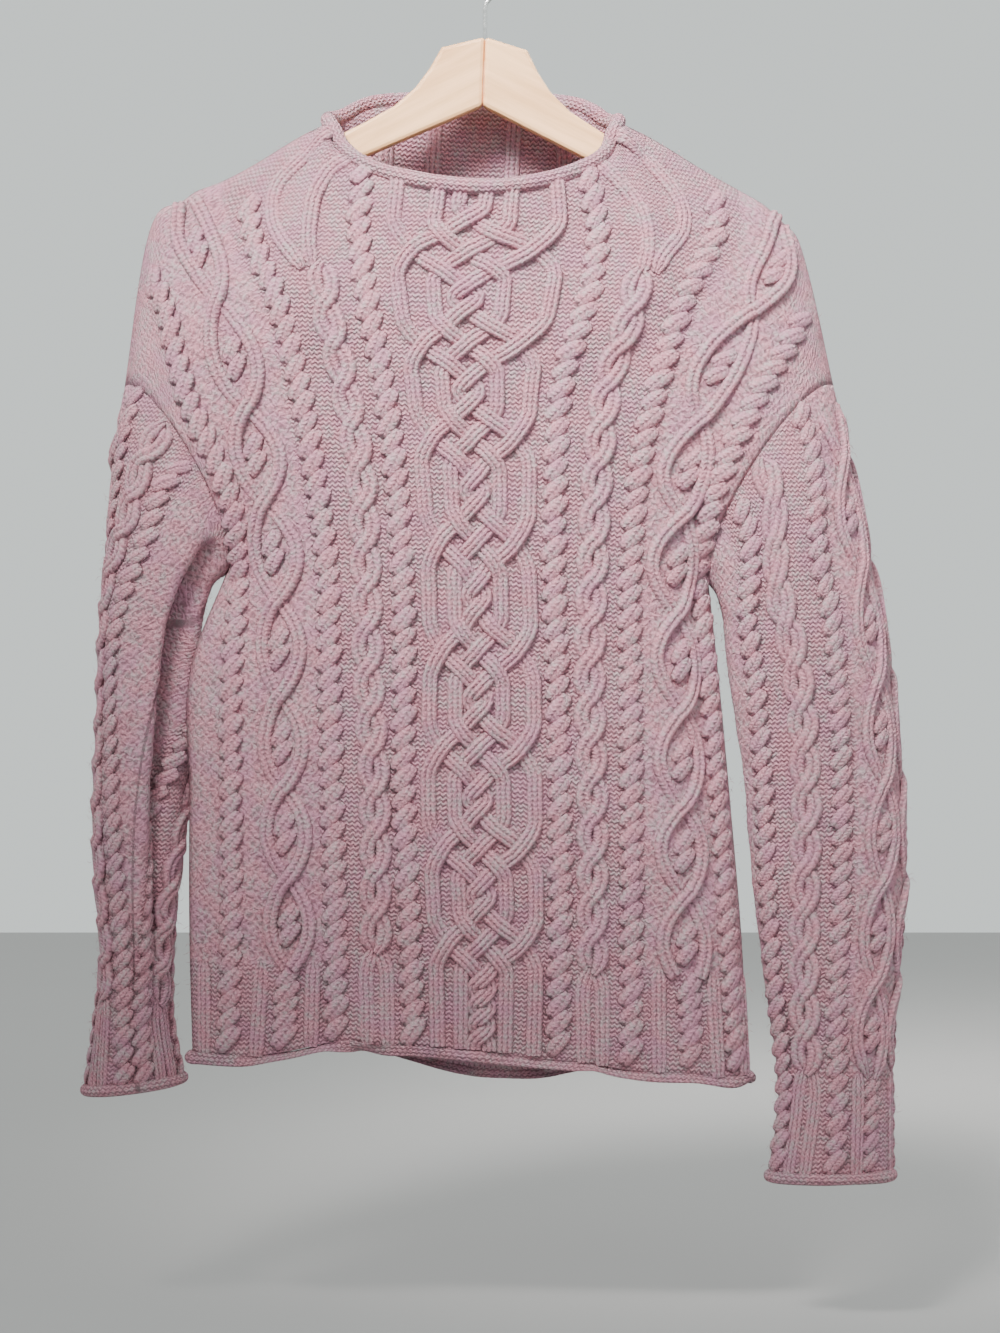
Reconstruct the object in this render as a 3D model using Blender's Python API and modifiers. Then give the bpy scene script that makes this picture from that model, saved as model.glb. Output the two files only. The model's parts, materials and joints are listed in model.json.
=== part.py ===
# Cable knit sweater on a wooden hanger, as it hangs: front, back, two sleeves,
# rolled neck, hem and cuffs, two hanger arms and a wire hook.
# The origin is where a rail carries the hook: +X is to the right as seen from
# the front, +Y goes from the front to the back, +Z is up.
# Sizes are in millimetres up to the last step, which makes each mesh in metres.
import math

import bmesh
import bpy
import numpy as np
from mathutils import Vector

METRE = 0.001

# the cloth
WALL = 3.0              # thickness of the knitted cloth
SEAM_SHIFT = 0.2        # each piece stands back this far from a seam
ROLL_GAP = 0.6          # between a rolled edge and the cloth it closes
NECK_ROLL_RADIUS = 5.0
HEM_ROLL_RADIUS = 4.2
CUFF_ROLL_RADIUS = 4.0
SHOULDER_FOLD = 12.5    # half width of the cloth where it goes over the hanger
SHOULDER_SPREAD = 120.0  # way down from the shoulder to the full depth
SECTION_FLATNESS = 2.4
SECTION_ROUNDNESS = 0.56
SHOULDER_CLOSING = 0.75 # how soon the cloth leaves the shoulder for its full depth
FOLD_START = 0.5        # folds are whole inside this share of the section's depth
BACK_FLATNESS = 0.85    # the back is this much flatter than the front

# the armholes, from the underarm to the point of the dropped shoulder
ARMHOLE_HALF_DEPTH = 28.0
ARMHOLE_BOW = 19.0
ARMHOLE_PACE = 0.75
ARMHOLE_REACH = 8         # how soon its depth is lost towards the centre
UNDERARM_SHARE = 0.558  # of the way from the hem to the neck
ROWS_BELOW_UNDERARM = 20
ROWS_IN_ARMHOLE = 16
ROWS_CROWD_UP = 1.5     # rows lie closer towards the shoulder
SLEEVE_RINGS = 30
RELAX_SHARE = 0.2       # of a sleeve, over which its wales spread evenly

# distance of these wales from the centre at the hem: edge, outer rope, diamond,
# rope, neck side, chain, inner rope and centre
WALE_PLACES = (192.0, 175.0, 136.0, 101.0, 87.0, 73.0, 49.0, 0.0)
NECK_WALE = 87.0
PEAKS = {"plait": (17.0, 33.0), "rope": (49.0, 101.0, 175.0), "chain": (65.0, 80.0), "diamond": 136.0}
CHAIN_CENTRE = 73.0
DIAMOND_STEP = 9.0      # a strand of the diamond goes this far sideways in a row
COLUMNS = (0, 9, 17, 25, 33, 41, 49, 57, 65, 73, 80, 87, 94, 101, 108,
           118, 127, 136, 145, 154, 165, 175, 184, 192)

# heights of the raised pattern
CABLE = 3.2
LOW_CABLE = 1.4
RIB = 2.0
MOSS = 0.8
WELT_ROWS = 4           # straight ribs above the hem
REPEAT_ROWS = 4         # one repeat of the plait and of the diamond
DIAMOND_SPREAD = (0, 1, 2, 1)  # steps between a strand and the middle, row by row
RELIEF_FADE = 12.0

# the sleeve's pattern by its columns, counted from the underarm
SLEEVE_ROPES = (5, 11)
SLEEVE_CHAIN_SIDES = (7, 9)
SLEEVE_CHAIN_CENTRE = 8
SLEEVE_DIAMOND_REACH = 2
CUFF_SHARE = 0.86       # straight ribs from here down
# rings and rows that the plain inside keeps
INNER_RINGS = [0, 1, 2, 4, 6, 9, 12, 15, 18, 21, 24, 27, 30]
INNER_ROW_STEP = 4

# one row for each course of the front: share of the height and half depth
COURSES = (
    # name, share, half depth, how much higher the back lies
    ("hem", 0.0, 26, -16),
    ("welt", 0.127, 34, -10),
    ("waist", 0.297, 38, -4),
    ("ribcage", 0.459, 40, 0),
    ("underarm", 0.558, 42, 0),
    ("breast", 0.663, 44, 6),
    ("chest", 0.784, 46, 18),
    ("yoke", 0.883, 48, 38),
    ("fan", 0.95, 47, 58),
    ("top", 1.0, 45, 74),
)
# the same rows, on the left from the edge to the centre, across and up
LEFT_ACROSS = (
    (-199, -174, -135, -100, -86, -72, -48, 0),
    (-201, -171, -131, -100, -86, -73, -50, 1),
    (-201, -171, -135, -102, -87, -73, -54, -2),
    (-199, -170, -138, -104, -91, -78, -54, -2),
    (-176, -166, -140, -105, -93, -79, -55, -3),
    (-180, -172, -151, -113, -97, -82, -59, -4),
    (-206, -200, -164, -125, -108, -94, -68, -8),
    (-229, -217, -181, -141, -123, -107, -79, -9),
    (-240, -226, -195, -157, -124, -108, -84, -7),
    (-245, -233, -203, -160, -112, -100, -81, -3),
)
LEFT_UP = (
    (-758, -759, -755, -748, -748, -750, -751, -755),
    (-682, -682, -682, -682, -682, -682, -682, -682),
    (-586, -585, -585, -585, -585, -585, -584, -584),
    (-491, -491, -491, -491, -491, -491, -491, -491),
    (-432, -434, -434, -434, -434, -434, -434, -434),
    (-389, -380, -371, -371, -371, -372, -371, -374),
    (-339, -313, -303, -303, -303, -305, -304, -304),
    (-311, -249, -245, -244, -241, -244, -247, -247),
    (-305, -232, -208, -203, -192, -199, -201, -209),
    (-305, -220, -177, -156, -129, -145, -162, -180),
)
# and on the right, where the sweater hangs lower
RIGHT_ACROSS = (
    (179, 171, 138, 98, 85, 73, 49, 0),
    (175, 165, 136, 98, 85, 72, 50, 1),
    (167, 158, 133, 98, 84, 72, 50, -2),
    (158, 150, 132, 97, 83, 70, 48, -2),
    (152, 145, 129, 97, 84, 72, 46, -3),
    (161, 153, 136, 102, 88, 75, 47, -4),
    (193, 182, 152, 116, 99, 83, 52, -8),
    (220, 207, 183, 135, 117, 101, 70, -9),
    (234, 217, 199, 156, 114, 104, 75, -7),
    (237, 222, 199, 152, 97, 86, 68, -3),
)
RIGHT_UP = (
    (-772, -774, -770, -767, -765, -762, -760, -755),
    (-688, -689, -687, -685, -685, -685, -684, -682),
    (-590, -590, -589, -588, -588, -588, -586, -584),
    (-494, -496, -495, -494, -494, -494, -492, -491),
    (-439, -439, -439, -438, -438, -437, -436, -434),
    (-393, -383, -373, -373, -373, -372, -373, -374),
    (-341, -315, -307, -305, -304, -305, -304, -304),
    (-311, -273, -251, -246, -242, -245, -245, -247),
    (-304, -251, -221, -200, -186, -198, -201, -209),
    (-305, -236, -190, -160, -129, -148, -164, -180),
)
# one row for each ring of a sleeve, outer and inner end of the ring as it hangs
SLEEVE_COLUMNS = ("share", "outer x", "outer z", "inner x", "inner z",
                  "half depth", "bow", "outer y", "inner y", "twist")
SLEEVES = {
    "right": (
        (0.00, 237, -305, 152, -439, ARMHOLE_HALF_DEPTH, ARMHOLE_BOW, 0, 0, 0),
        (0.06, 245, -341, 158, -447, 31, 15, 0, 0, 0),
        (0.13, 253, -380, 163, -465, 32, 10, 0, 0, -2),
        (0.22, 263, -426, 164, -488, 31, 6, 0, 0, -4),
        (0.33, 273, -484, 169, -518, 28, 2, 0, 0, -8),
        (0.44, 279, -540, 174, -558, 25, 0, 0, 0, -10),
        (0.58, 284, -617, 180, -620, 22, 0, 0, 1, -12),
        (0.69, 282, -675, 186, -678, 20, 0, 0, 2, -12),
        (0.79, 277, -729, 193, -730, 19, 0, 0, 2, -12),
        (0.88, 276, -777, 199, -777, 18, 0, 0, 2, -12),
        (1.00, 276, -838, 194, -839, 20, 0, 0, 0, -12),
    ),
    "left": (
        (0.00, -245, -305, -176, -432, ARMHOLE_HALF_DEPTH, ARMHOLE_BOW, 0, 0, 0),
        (0.06, -250, -341, -185, -439, 32, 14, 0, 2, 6),
        (0.13, -253, -382, -196, -455, 34, 9, 2, 6, 16),
        (0.22, -257, -427, -204, -478, 36, 5, 4, 12, 34),
        (0.33, -260, -477, -208, -508, 37, 2, 8, 16, 56),
        (0.45, -262, -532, -211, -547, 37, 0, 12, 20, 74),
        (0.57, -265, -586, -213, -591, 36, 0, 16, 22, 84),
        (0.69, -265, -641, -215, -643, 34, 0, 20, 24, 88),
        (0.79, -262, -688, -217, -692, 32, 0, 24, 27, 88),
        (0.89, -267, -732, -217, -737, 29, 0, 28, 30, 86),
        (1.00, -275, -785, -210, -777, 26, 0, 32, 33, 84),
    ),
}
# long soft folds of the sleeves: depth at named shares of the sleeve
SLEEVE_FOLDS = (
    # sleeve, angle at top, angle at cuff, half width in degrees, (share, depth) pairs
    ("left", 46, 66, 15,
     ((0.0, 0), (0.08, 6), (0.18, 17), (0.33, 15), (0.5, 11), (0.75, 5), (0.95, 0), (1.0, 0))),
    ("left", 235, 250, 16, ((0.0, 0), (0.15, 4), (0.45, 5), (0.8, 2), (1.0, 0))),
    ("right", 70, 58, 14, ((0.0, 0), (0.12, 3), (0.35, 4), (0.6, 2), (1.0, 0))),
    ("right", 250, 262, 15, ((0.0, 0), (0.2, 4), (0.5, 3), (0.8, 1), (1.0, 0))),
)
# long soft folds of the body, between two places on the panel
BODY_FOLDS = (
    # side, wale and share where it starts, wale and share where it ends, half width, depth
    ("front", 172, 0.60, 150, 0.30, 13, 3.5),
    ("front", -168, 0.58, -120, 0.25, 16, 2.5),
    ("front", 110, 0.90, 60, 0.72, 16, 2.5),
    ("front", -118, 0.88, -62, 0.70, 16, 2.0),
    ("front", -70, 0.20, -58, 0.0, 26, 3.0),
    ("front", 100, 0.22, 120, 0.0, 24, 2.5),
    ("back", 160, 0.62, 110, 0.28, 15, 3.5),
    ("back", -160, 0.60, -96, 0.24, 15, 3.5),
    ("back", 40, 0.30, 62, 0.0, 24, 3.0),
    ("back", -30, 0.86, 20, 0.55, 22, 2.5),
)

# the hanger, from the top of its head, before it is turned
HANGER_TURN = math.radians(2.0)
HEAD_TOP = -68.0
HANGER_HALF_THICKNESS = 5.5
HANGER_EDGE = 2.6
ARM_TOP = ((0, 0), (29, -8), (37, -23), (46, -36), (60, -49), (80, -61), (104, -74),
           (127, -87), (150, -101), (172, -114), (192, -127), (200, -134), (203, -140))
ARM_BOTTOM = ((200, -145), (193, -144), (150, -117.5), (0, -47))
MITRE_GAP = 0.3
WIRE_RADIUS = 1.5
BORE_CLEARANCE = 0.3
BORE_DEPTH = 18.0
HOOK_RADIUS = 20.5      # of the wire's centre line
STEM_TOP = -48.0
HOOK_START = -60.0      # degrees round the hook, where the stem joins it
HOOK_END = 205.0
HOOK_STEPS = 22
HOOK_BEND = 16.0        # how softly the stem turns into the hook


def smooth(share):
    share = np.clip(share, 0.0, 1.0)
    return share * share * (3.0 - 2.0 * share)


def through(places, values, at):
    """A soft curve through the values, read at the given places."""
    places, values = np.asarray(places, float), np.asarray(values, float)
    slopes = np.gradient(values, places, axis=0)
    at = np.clip(at, places[0], places[-1])
    i = np.clip(np.searchsorted(places, at) - 1, 0, len(places) - 2)
    step = places[i + 1] - places[i]
    t = (at - places[i]) / step
    if values.ndim > 1:
        step, t = step[:, None], t[:, None]
    start, end = 2 * t**3 - 3 * t**2 + 1, 3 * t**2 - 2 * t**3
    leave, arrive = (t**3 - 2 * t**2 + t) * step, (t**3 - t**2) * step
    return start * values[i] + leave * slopes[i] + end * values[i + 1] + arrive * slopes[i + 1]


def panel_rows():
    below = np.linspace(0.0, UNDERARM_SHARE, ROWS_BELOW_UNDERARM + 1)
    climb = 1.0 - (1.0 - np.arange(1, ROWS_IN_ARMHOLE + 1) / ROWS_IN_ARMHOLE) ** ROWS_CROWD_UP
    return np.concatenate([below, UNDERARM_SHARE + (1.0 - UNDERARM_SHARE) * climb])


def armhole_angle(share):
    return math.pi * ((share - UNDERARM_SHARE) / (1.0 - UNDERARM_SHARE)) ** ARMHOLE_PACE


def ring_points(outer, inner, half_depth, bow, angle):
    """A ring of cloth seen edge on: 0 is its inner end, half a turn its outer end."""
    chord = outer - inner
    towards_body = np.array([-chord[2] * np.sign(chord[0]), 0.0, abs(chord[0])])
    towards_body /= np.linalg.norm(towards_body)
    angle = np.asarray(angle)[:, None]
    along = inner + chord * (1.0 - np.cos(angle)) / 2.0
    depth = np.array([0.0, -half_depth, 0.0]) * np.sin(angle)
    return along + depth + towards_body * bow * np.abs(np.sin(angle))


def armhole_points(side, angles):
    row = dict(zip(SLEEVE_COLUMNS, SLEEVES[side][0]))
    outer = np.array([row["outer x"], 0.0, row["outer z"]])
    inner = np.array([row["inner x"], 0.0, row["inner z"]])
    return ring_points(outer, inner, row["half depth"], row["bow"], angles)


def half_outline(across, up, side, shares):
    """Places of the named wales of one half, for each row: rows by wales by (x, z)."""
    heights = [course[1] for course in COURSES]
    table = np.stack([np.array(across, float), np.array(up, float)], axis=2)
    places = through(heights, table.reshape(len(heights), -1), shares).reshape(len(shares), -1, 2)
    low = [h for h in heights if h <= UNDERARM_SHARE]
    edge = through(low, table[:len(low), 0], np.minimum(shares, UNDERARM_SHARE))
    places[:, 0] = edge
    in_armhole = shares > UNDERARM_SHARE
    hole = armhole_points(side, armhole_angle(shares[in_armhole]))
    places[in_armhole, 0] = hole[:, (0, 2)]
    return places


def section_share(s):
    return np.clip(1.0 - np.abs(s) ** SECTION_FLATNESS, 0.0, 1.0) ** SECTION_ROUNDNESS


def fold_depth(side, wales, shares):
    depth = np.zeros(np.broadcast(wales, shares).shape)
    for name, wale_0, share_0, wale_1, share_1, half_width, height in BODY_FOLDS:
        if name != side:
            continue
        t = np.clip((shares - share_0) / (share_1 - share_0), 0.0, 1.0)
        inside = ((shares - share_0) * (shares - share_1) < 0).astype(float)
        line = wale_0 + (wale_1 - wale_0) * t
        depth += height * inside * np.sin(np.pi * t) * np.exp(-((wales - line) / half_width) ** 2)
    return depth


def panel_points(side, wales, shares):
    """Outer face of the front or the back, rows by columns."""
    left = half_outline(LEFT_ACROSS, LEFT_UP, "left", shares)
    right = half_outline(RIGHT_ACROSS, RIGHT_UP, "right", shares)
    knots = np.concatenate([-np.array(WALE_PLACES), np.array(WALE_PLACES[-2::-1])])
    places = np.concatenate([left, right[:, -2::-1]], axis=1)
    flat = np.stack([through(knots, row, wales) for row in places])
    heights = [course[1] for course in COURSES]
    depths = through(heights, [course[2] for course in COURSES], shares)
    lifts = through(heights, [course[3] for course in COURSES], shares)
    if side == "back":
        depths = depths * BACK_FLATNESS
        bell = np.clip(1.0 - (wales / NECK_WALE) ** 2, 0.0, 1.0)
        flat[:, :, 1] += lifts[:, None] * bell[None, :]
    middle = through(knots, places[-1], np.array([0.0]))[0, 0]
    neck_x = through(knots, places[-1], np.array([-NECK_WALE, NECK_WALE]))[:, 0]
    top_x = flat[-1, :, 0]
    reach = np.where(top_x < middle, neck_x[0], neck_x[1]) - middle
    top_depth = depths[-1] * np.sqrt(np.clip(1.0 - ((top_x - middle) / reach) ** 2, 0.0, 1.0))
    drop = np.linalg.norm(flat - flat[-1], axis=2)
    fold = np.sqrt(np.clip(1.0 - (1.0 - np.clip(drop / SHOULDER_FOLD, 0, 1)) ** 2, 0, 1))
    part = SHOULDER_FOLD / depths[:, None]
    closing = part * fold + (1.0 - part) * smooth(drop / SHOULDER_SPREAD) ** SHOULDER_CLOSING
    inner = top_depth + (depths[:, None] - top_depth) * closing
    centre = flat[:, [len(wales) // 2], 0]
    edges = np.where(flat[:, :, 0] < centre, flat[:, [0], 0], flat[:, [-1], 0])
    side_share = (flat[:, :, 0] - centre) / (edges - centre)
    share = section_share(side_share)
    angle = armhole_angle(np.maximum(shares, UNDERARM_SHARE))
    edge_depth = (ARMHOLE_HALF_DEPTH * np.sin(angle))[:, None]
    edge_depth[-1] = 0.0
    depth = inner * share + edge_depth * np.abs(side_share) ** ARMHOLE_REACH
    fade = np.minimum(share / FOLD_START, 1.0)
    depth -= fold_depth(side, wales[None, :], shares[:, None]) * fade
    sign = -1.0 if side == "front" else 1.0
    return np.stack([flat[:, :, 0], sign * depth, flat[:, :, 1]], axis=2)


def sleeve_angles(share, twist):
    """Angles of the wales round a ring: as the armhole has them, then evenly spread."""
    rows = panel_rows()[ROWS_BELOW_UNDERARM:]
    even = np.pi * np.arange(ROWS_IN_ARMHOLE + 1) / ROWS_IN_ARMHOLE
    front = armhole_angle(rows) + (even - armhole_angle(rows)) * smooth(share / RELAX_SHARE)
    both = np.concatenate([front, 2 * np.pi - front[-2:0:-1]])
    return both + math.radians(twist)


def sleeve_points(side, shares):
    rows = np.array(SLEEVES[side], float)
    table = dict(zip(SLEEVE_COLUMNS[1:], through(rows[:, 0], rows[:, 1:], shares).T))
    rings = []
    for k, share in enumerate(shares):
        outer = np.array([table["outer x"][k], table["outer y"][k], table["outer z"][k]])
        inner = np.array([table["inner x"][k], table["inner y"][k], table["inner z"][k]])
        angles = sleeve_angles(share, table["twist"][k])
        ring = ring_points(outer, inner, table["half depth"][k], max(table["bow"][k], 0.0), angles)
        centre = (outer + inner) / 2.0
        for name, top, low, width, depths in SLEEVE_FOLDS:
            if name != side:
                continue
            place = top + (low - top) * share
            off = (np.degrees(angles) - place + 180.0) % 360.0 - 180.0
            depth = np.interp(share, [d[0] for d in depths], [d[1] for d in depths])
            inwards = centre - ring
            inwards /= np.linalg.norm(inwards, axis=1)[:, None]
            ring = ring + inwards * (depth * np.exp(-(off / width) ** 2))[:, None]
        rings.append(ring)
    return np.array(rings)


def shared_normals(grids):
    """Outward direction at each point, the same for all pieces that meet there."""
    total = {}
    keys = {}
    for name, (points, closed, turned) in grids.items():
        rounded = np.round(points, 2) + 0.0
        keys[name] = [[tuple(p) for p in row] for row in rounded]
        columns = points.shape[1] if closed else points.shape[1] - 1
        for r in range(points.shape[0] - 1):
            for c in range(columns):
                d = (c + 1) % points.shape[1]
                corners = ((r, c), (r, d), (r + 1, d), (r + 1, c))
                across = points[r + 1, d] - points[r, c]
                up = points[r + 1, c] - points[r, d]
                normal = np.cross(across, up) * (-1.0 if turned else 1.0)
                normal /= np.linalg.norm(normal)
                for corner in corners:
                    key = keys[name][corner[0]][corner[1]]
                    total[key] = total.get(key, 0.0) + normal
    out = {}
    for name, (points, closed, turned) in grids.items():
        normals = np.array([[total[key] for key in row] for row in keys[name]])
        out[name] = normals / np.linalg.norm(normals, axis=2)[:, :, None]
    return out


def repeat_row(row):
    return (row - WELT_ROWS - 1) % REPEAT_ROWS


def column_height(wale, row):
    """How far a point of a body panel is raised: ropes, chains, diamonds and the plait."""
    place = abs(wale)
    in_welt = row < WELT_ROWS
    beat = repeat_row(row)
    if place in PEAKS["rope"]:
        return CABLE
    if place in PEAKS["chain"]:
        return RIB if in_welt else (CABLE if row % 2 else LOW_CABLE)
    if place == CHAIN_CENTRE:
        return RIB if in_welt else (LOW_CABLE if row % 2 else CABLE)
    steps = abs(place - PEAKS["diamond"]) / DIAMOND_STEP
    if steps <= 2:
        if in_welt:
            return CABLE if steps == 0 else RIB * (steps == 2)
        spread = DIAMOND_SPREAD[beat]
        return CABLE if steps == spread else (LOW_CABLE if steps == 0 and spread == 2 else MOSS)
    if place < PEAKS["plait"][1] + 1:
        crossing = beat == 0 and not in_welt
        if place in PEAKS["plait"]:
            return LOW_CABLE if crossing else CABLE
        if place == 0:
            return CABLE if crossing or in_welt else LOW_CABLE
        return CABLE if crossing else 0.0
    return MOSS if place > PEAKS["diamond"] else 0.0


def panel_relief(points, wales, shares):
    drop = np.linalg.norm(points - points[-1], axis=2)
    relief = np.array([[column_height(w, r) for w in wales] for r in range(len(shares))])
    relief = relief * smooth(drop / RELIEF_FADE)
    relief[0] = 0.0
    relief[:, 0] = relief[:, -1] = 0.0
    return relief


def sleeve_relief(shares):
    """Rope, chain, rope and diamond on each side of the sleeve, moss along its underside."""
    half = ROWS_IN_ARMHOLE
    relief = np.zeros((len(shares), 2 * half))
    for r, share in enumerate(shares):
        cuff = share > CUFF_SHARE
        for column in range(2 * half):
            c = column if column <= half else 2 * half - column
            height = MOSS if c < SLEEVE_ROPES[0] - 1 else 0.0
            if c in SLEEVE_ROPES:
                height = CABLE
            elif c in SLEEVE_CHAIN_SIDES:
                height = RIB if cuff else (CABLE if r % 2 else LOW_CABLE)
            elif c == SLEEVE_CHAIN_CENTRE:
                height = RIB if cuff else (LOW_CABLE if r % 2 else CABLE)
            elif half - c <= SLEEVE_DIAMOND_REACH:
                spread = 2 if cuff else DIAMOND_SPREAD[r % REPEAT_ROWS]
                height = CABLE if half - c == spread else (LOW_CABLE if c == half else MOSS)
            relief[r, column] = height
    relief[0] = relief[-1] = 0.0
    relief[1] *= 0.5
    return relief


def stand_back(edge, inwards, normals):
    """Moves across a seam and along the cloth, whatever angle the pieces meet at."""
    direction = inwards - edge
    direction = direction - normals * np.sum(direction * normals, axis=1)[:, None]
    return direction / np.linalg.norm(direction, axis=1)[:, None] * SEAM_SHIFT


def seam_shift(points, normals, closed):
    """Small moves that part each piece from its neighbours along its edges."""
    shift = np.zeros_like(points)
    shift[0] += stand_back(points[0], points[1], normals[0])
    shift[-1] += stand_back(points[-1], points[-2], normals[-1])
    if not closed:
        shift[:, 0] += stand_back(points[:, 0], points[:, 1], normals[:, 0])
        shift[:, -1] += stand_back(points[:, -1], points[:, -2], normals[:, -1])
        corner = ROWS_BELOW_UNDERARM
        sides = [0, -1]
        shift[corner, sides] += stand_back(points[corner, sides], points[corner - 1, sides],
                                           normals[corner, sides])
    return shift


def make_material(name, colour, roughness, metallic=0.0):
    material = bpy.data.materials.new(name)
    material.use_nodes = True
    shader = material.node_tree.nodes["Principled BSDF"]
    shader.inputs["Base Color"].default_value = (*colour, 1.0)
    shader.inputs["Roughness"].default_value = roughness
    shader.inputs["Metallic"].default_value = metallic
    material.diffuse_color = (*colour, 1.0)
    return material


def add_object(name, data, material, collection):
    data.materials.append(material)
    piece = bpy.data.objects.new(name, data)
    collection.objects.link(piece)
    return piece


def fan_strip(fine, coarse, picked):
    """Triangles between a finely and a coarsely divided edge; picked are the fine
    edge's points that the coarse edge shares."""
    faces = []
    for i in range(len(picked) - 1):
        start, end = picked[i], picked[i + 1]
        half = (start + end + 1) // 2
        for j in range(start, end):
            faces.append((fine[j], fine[j + 1], coarse[i] if j < half else coarse[i + 1]))
        faces.append((coarse[i + 1], coarse[i], fine[half]))
    return faces


def cloth_mesh(name, points, normals, relief, rows, columns, closed, turned):
    """A knitted wall: the pattern is raised on its outer face, its inside is plain."""
    shift = seam_shift(points, normals, closed)
    outer = points + normals * relief[:, :, None] + shift
    inner = (points - normals * WALL + shift)[rows][:, columns]
    count = points.shape[1]
    mesh = bmesh.new()
    out = [[mesh.verts.new(Vector(p * METRE)) for p in row] for row in outer]
    ins = [[mesh.verts.new(Vector(p * METRE)) for p in row] for row in inner]
    if closed:
        out = [row + [row[0]] for row in out]
        ins = [row + [row[0]] for row in ins]
        columns = list(columns) + [count]
    faces = []
    for r in range(len(out) - 1):
        for c in range(len(out[0]) - 1):
            faces.append((out[r][c], out[r][c + 1], out[r + 1][c + 1], out[r + 1][c]))
    for r in range(len(ins) - 1):
        for c in range(len(ins[0]) - 1):
            faces.append((ins[r][c], ins[r + 1][c], ins[r + 1][c + 1], ins[r][c + 1]))
    faces += fan_strip(out[0], ins[0], columns)
    faces += [face[::-1] for face in fan_strip(out[-1], ins[-1], columns)]
    if not closed:
        faces += [face[::-1] for face in fan_strip([row[0] for row in out], [row[0] for row in ins], rows)]
        faces += fan_strip([row[-1] for row in out], [row[-1] for row in ins], rows)
    for face in faces:
        mesh.faces.new(face if turned else face[::-1])
    bmesh.ops.recalc_face_normals(mesh, faces=mesh.faces)
    bmesh.ops.triangulate(mesh, faces=mesh.faces)
    data = bpy.data.meshes.new(name)
    mesh.to_mesh(data)
    mesh.free()
    return data


def tube(name, points, radius, closed, material, collection):
    """A rolled edge or a wire as a round curve along its points."""
    curve = bpy.data.curves.new(name, "CURVE")
    curve.dimensions = "3D"
    curve.bevel_depth = radius * METRE
    curve.bevel_resolution = 2
    curve.use_fill_caps = not closed
    spline = curve.splines.new("POLY")
    spline.points.add(len(points) - 1)
    for target, point in zip(spline.points, points):
        target.co = (*(np.asarray(point) * METRE), 1.0)
    spline.use_cyclic_u = closed
    return add_object(name, curve, material, collection)


def rolled_path(edge, normals, inwards, radius, closed):
    """The centre line of a rolled edge, just past the cloth's own edge."""
    if closed:
        along = np.roll(edge, -1, axis=0) - np.roll(edge, 1, axis=0)
    else:
        along = np.gradient(edge, axis=0)
    away = np.cross(normals, along)
    away *= np.sign(np.sum(away * (edge - inwards), axis=1))[:, None]
    away /= np.linalg.norm(away, axis=1)[:, None]
    return edge + away * (radius + ROLL_GAP)


def make_cloth(material, collection):
    shares = panel_rows()
    wales = np.array([-c for c in COLUMNS[:0:-1]] + list(COLUMNS), float)
    sleeve_shares = np.linspace(0.0, 1.0, SLEEVE_RINGS + 1)
    grids = {
        "front_panel": (panel_points("front", wales, shares), False, False),
        "back_panel": (panel_points("back", wales, shares), False, True),
        "sleeve_left": (sleeve_points("left", sleeve_shares), True, False),
        "sleeve_right": (sleeve_points("right", sleeve_shares), True, True),
    }
    normals = shared_normals(grids)
    inner_rows = list(range(0, ROWS_BELOW_UNDERARM - 2, INNER_ROW_STEP))
    inner_rows += list(range(ROWS_BELOW_UNDERARM - 2, len(shares), 2)) + [ROWS_BELOW_UNDERARM + 1]
    inner_rows.sort()
    for name, (points, closed, turned) in grids.items():
        if closed:
            relief, rows = sleeve_relief(sleeve_shares), INNER_RINGS
            columns = sorted(list(range(0, points.shape[1], 2)) + [1, points.shape[1] - 1])
        else:
            relief, rows = panel_relief(points, wales, shares), inner_rows
            columns = list(range(0, len(wales), 2))
        mesh = cloth_mesh(name, points, normals[name], relief, rows, columns, closed, turned)
        add_object(name, mesh, material, collection)
    return grids, normals, wales


def make_rolls(grids, normals, wales, material, collection):
    neck = np.abs(wales) <= NECK_WALE
    rims = []
    for grid in (normals, {name: grids[name][0] for name in grids}):
        for row in (-1, -4):
            front, back = grid["front_panel"][row, neck], grid["back_panel"][row, neck]
            rims.append(np.concatenate([front, back[-2:0:-1]]))
    path = rolled_path(rims[2], rims[0], rims[3], NECK_ROLL_RADIUS, True)
    tube("neck_roll", path, NECK_ROLL_RADIUS, True, material, collection)
    for side, sign in (("front", -1.0), ("back", 1.0)):
        points = grids[side + "_panel"][0]
        path = rolled_path(points[0], normals[side + "_panel"][0], points[1], HEM_ROLL_RADIUS, False)
        ends = path[[0, -1]].copy()
        ends[:, 1] = sign * 2 * SEAM_SHIFT
        path[[0, -1], 1] = sign * HEM_ROLL_RADIUS
        keep = np.abs(path[:, 1]) > HEM_ROLL_RADIUS
        keep[[0, -1]] = True
        path = np.concatenate([ends[:1], path[keep], ends[1:]])
        tube("hem_roll_" + side, path, HEM_ROLL_RADIUS, False, material, collection)
    for side in ("left", "right"):
        name = "sleeve_" + side
        points = grids[name][0]
        path = rolled_path(points[-1], normals[name][-1], points[-2], CUFF_ROLL_RADIUS, True)
        tube("cuff_roll_" + side, path, CUFF_ROLL_RADIUS, True, material, collection)


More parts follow.
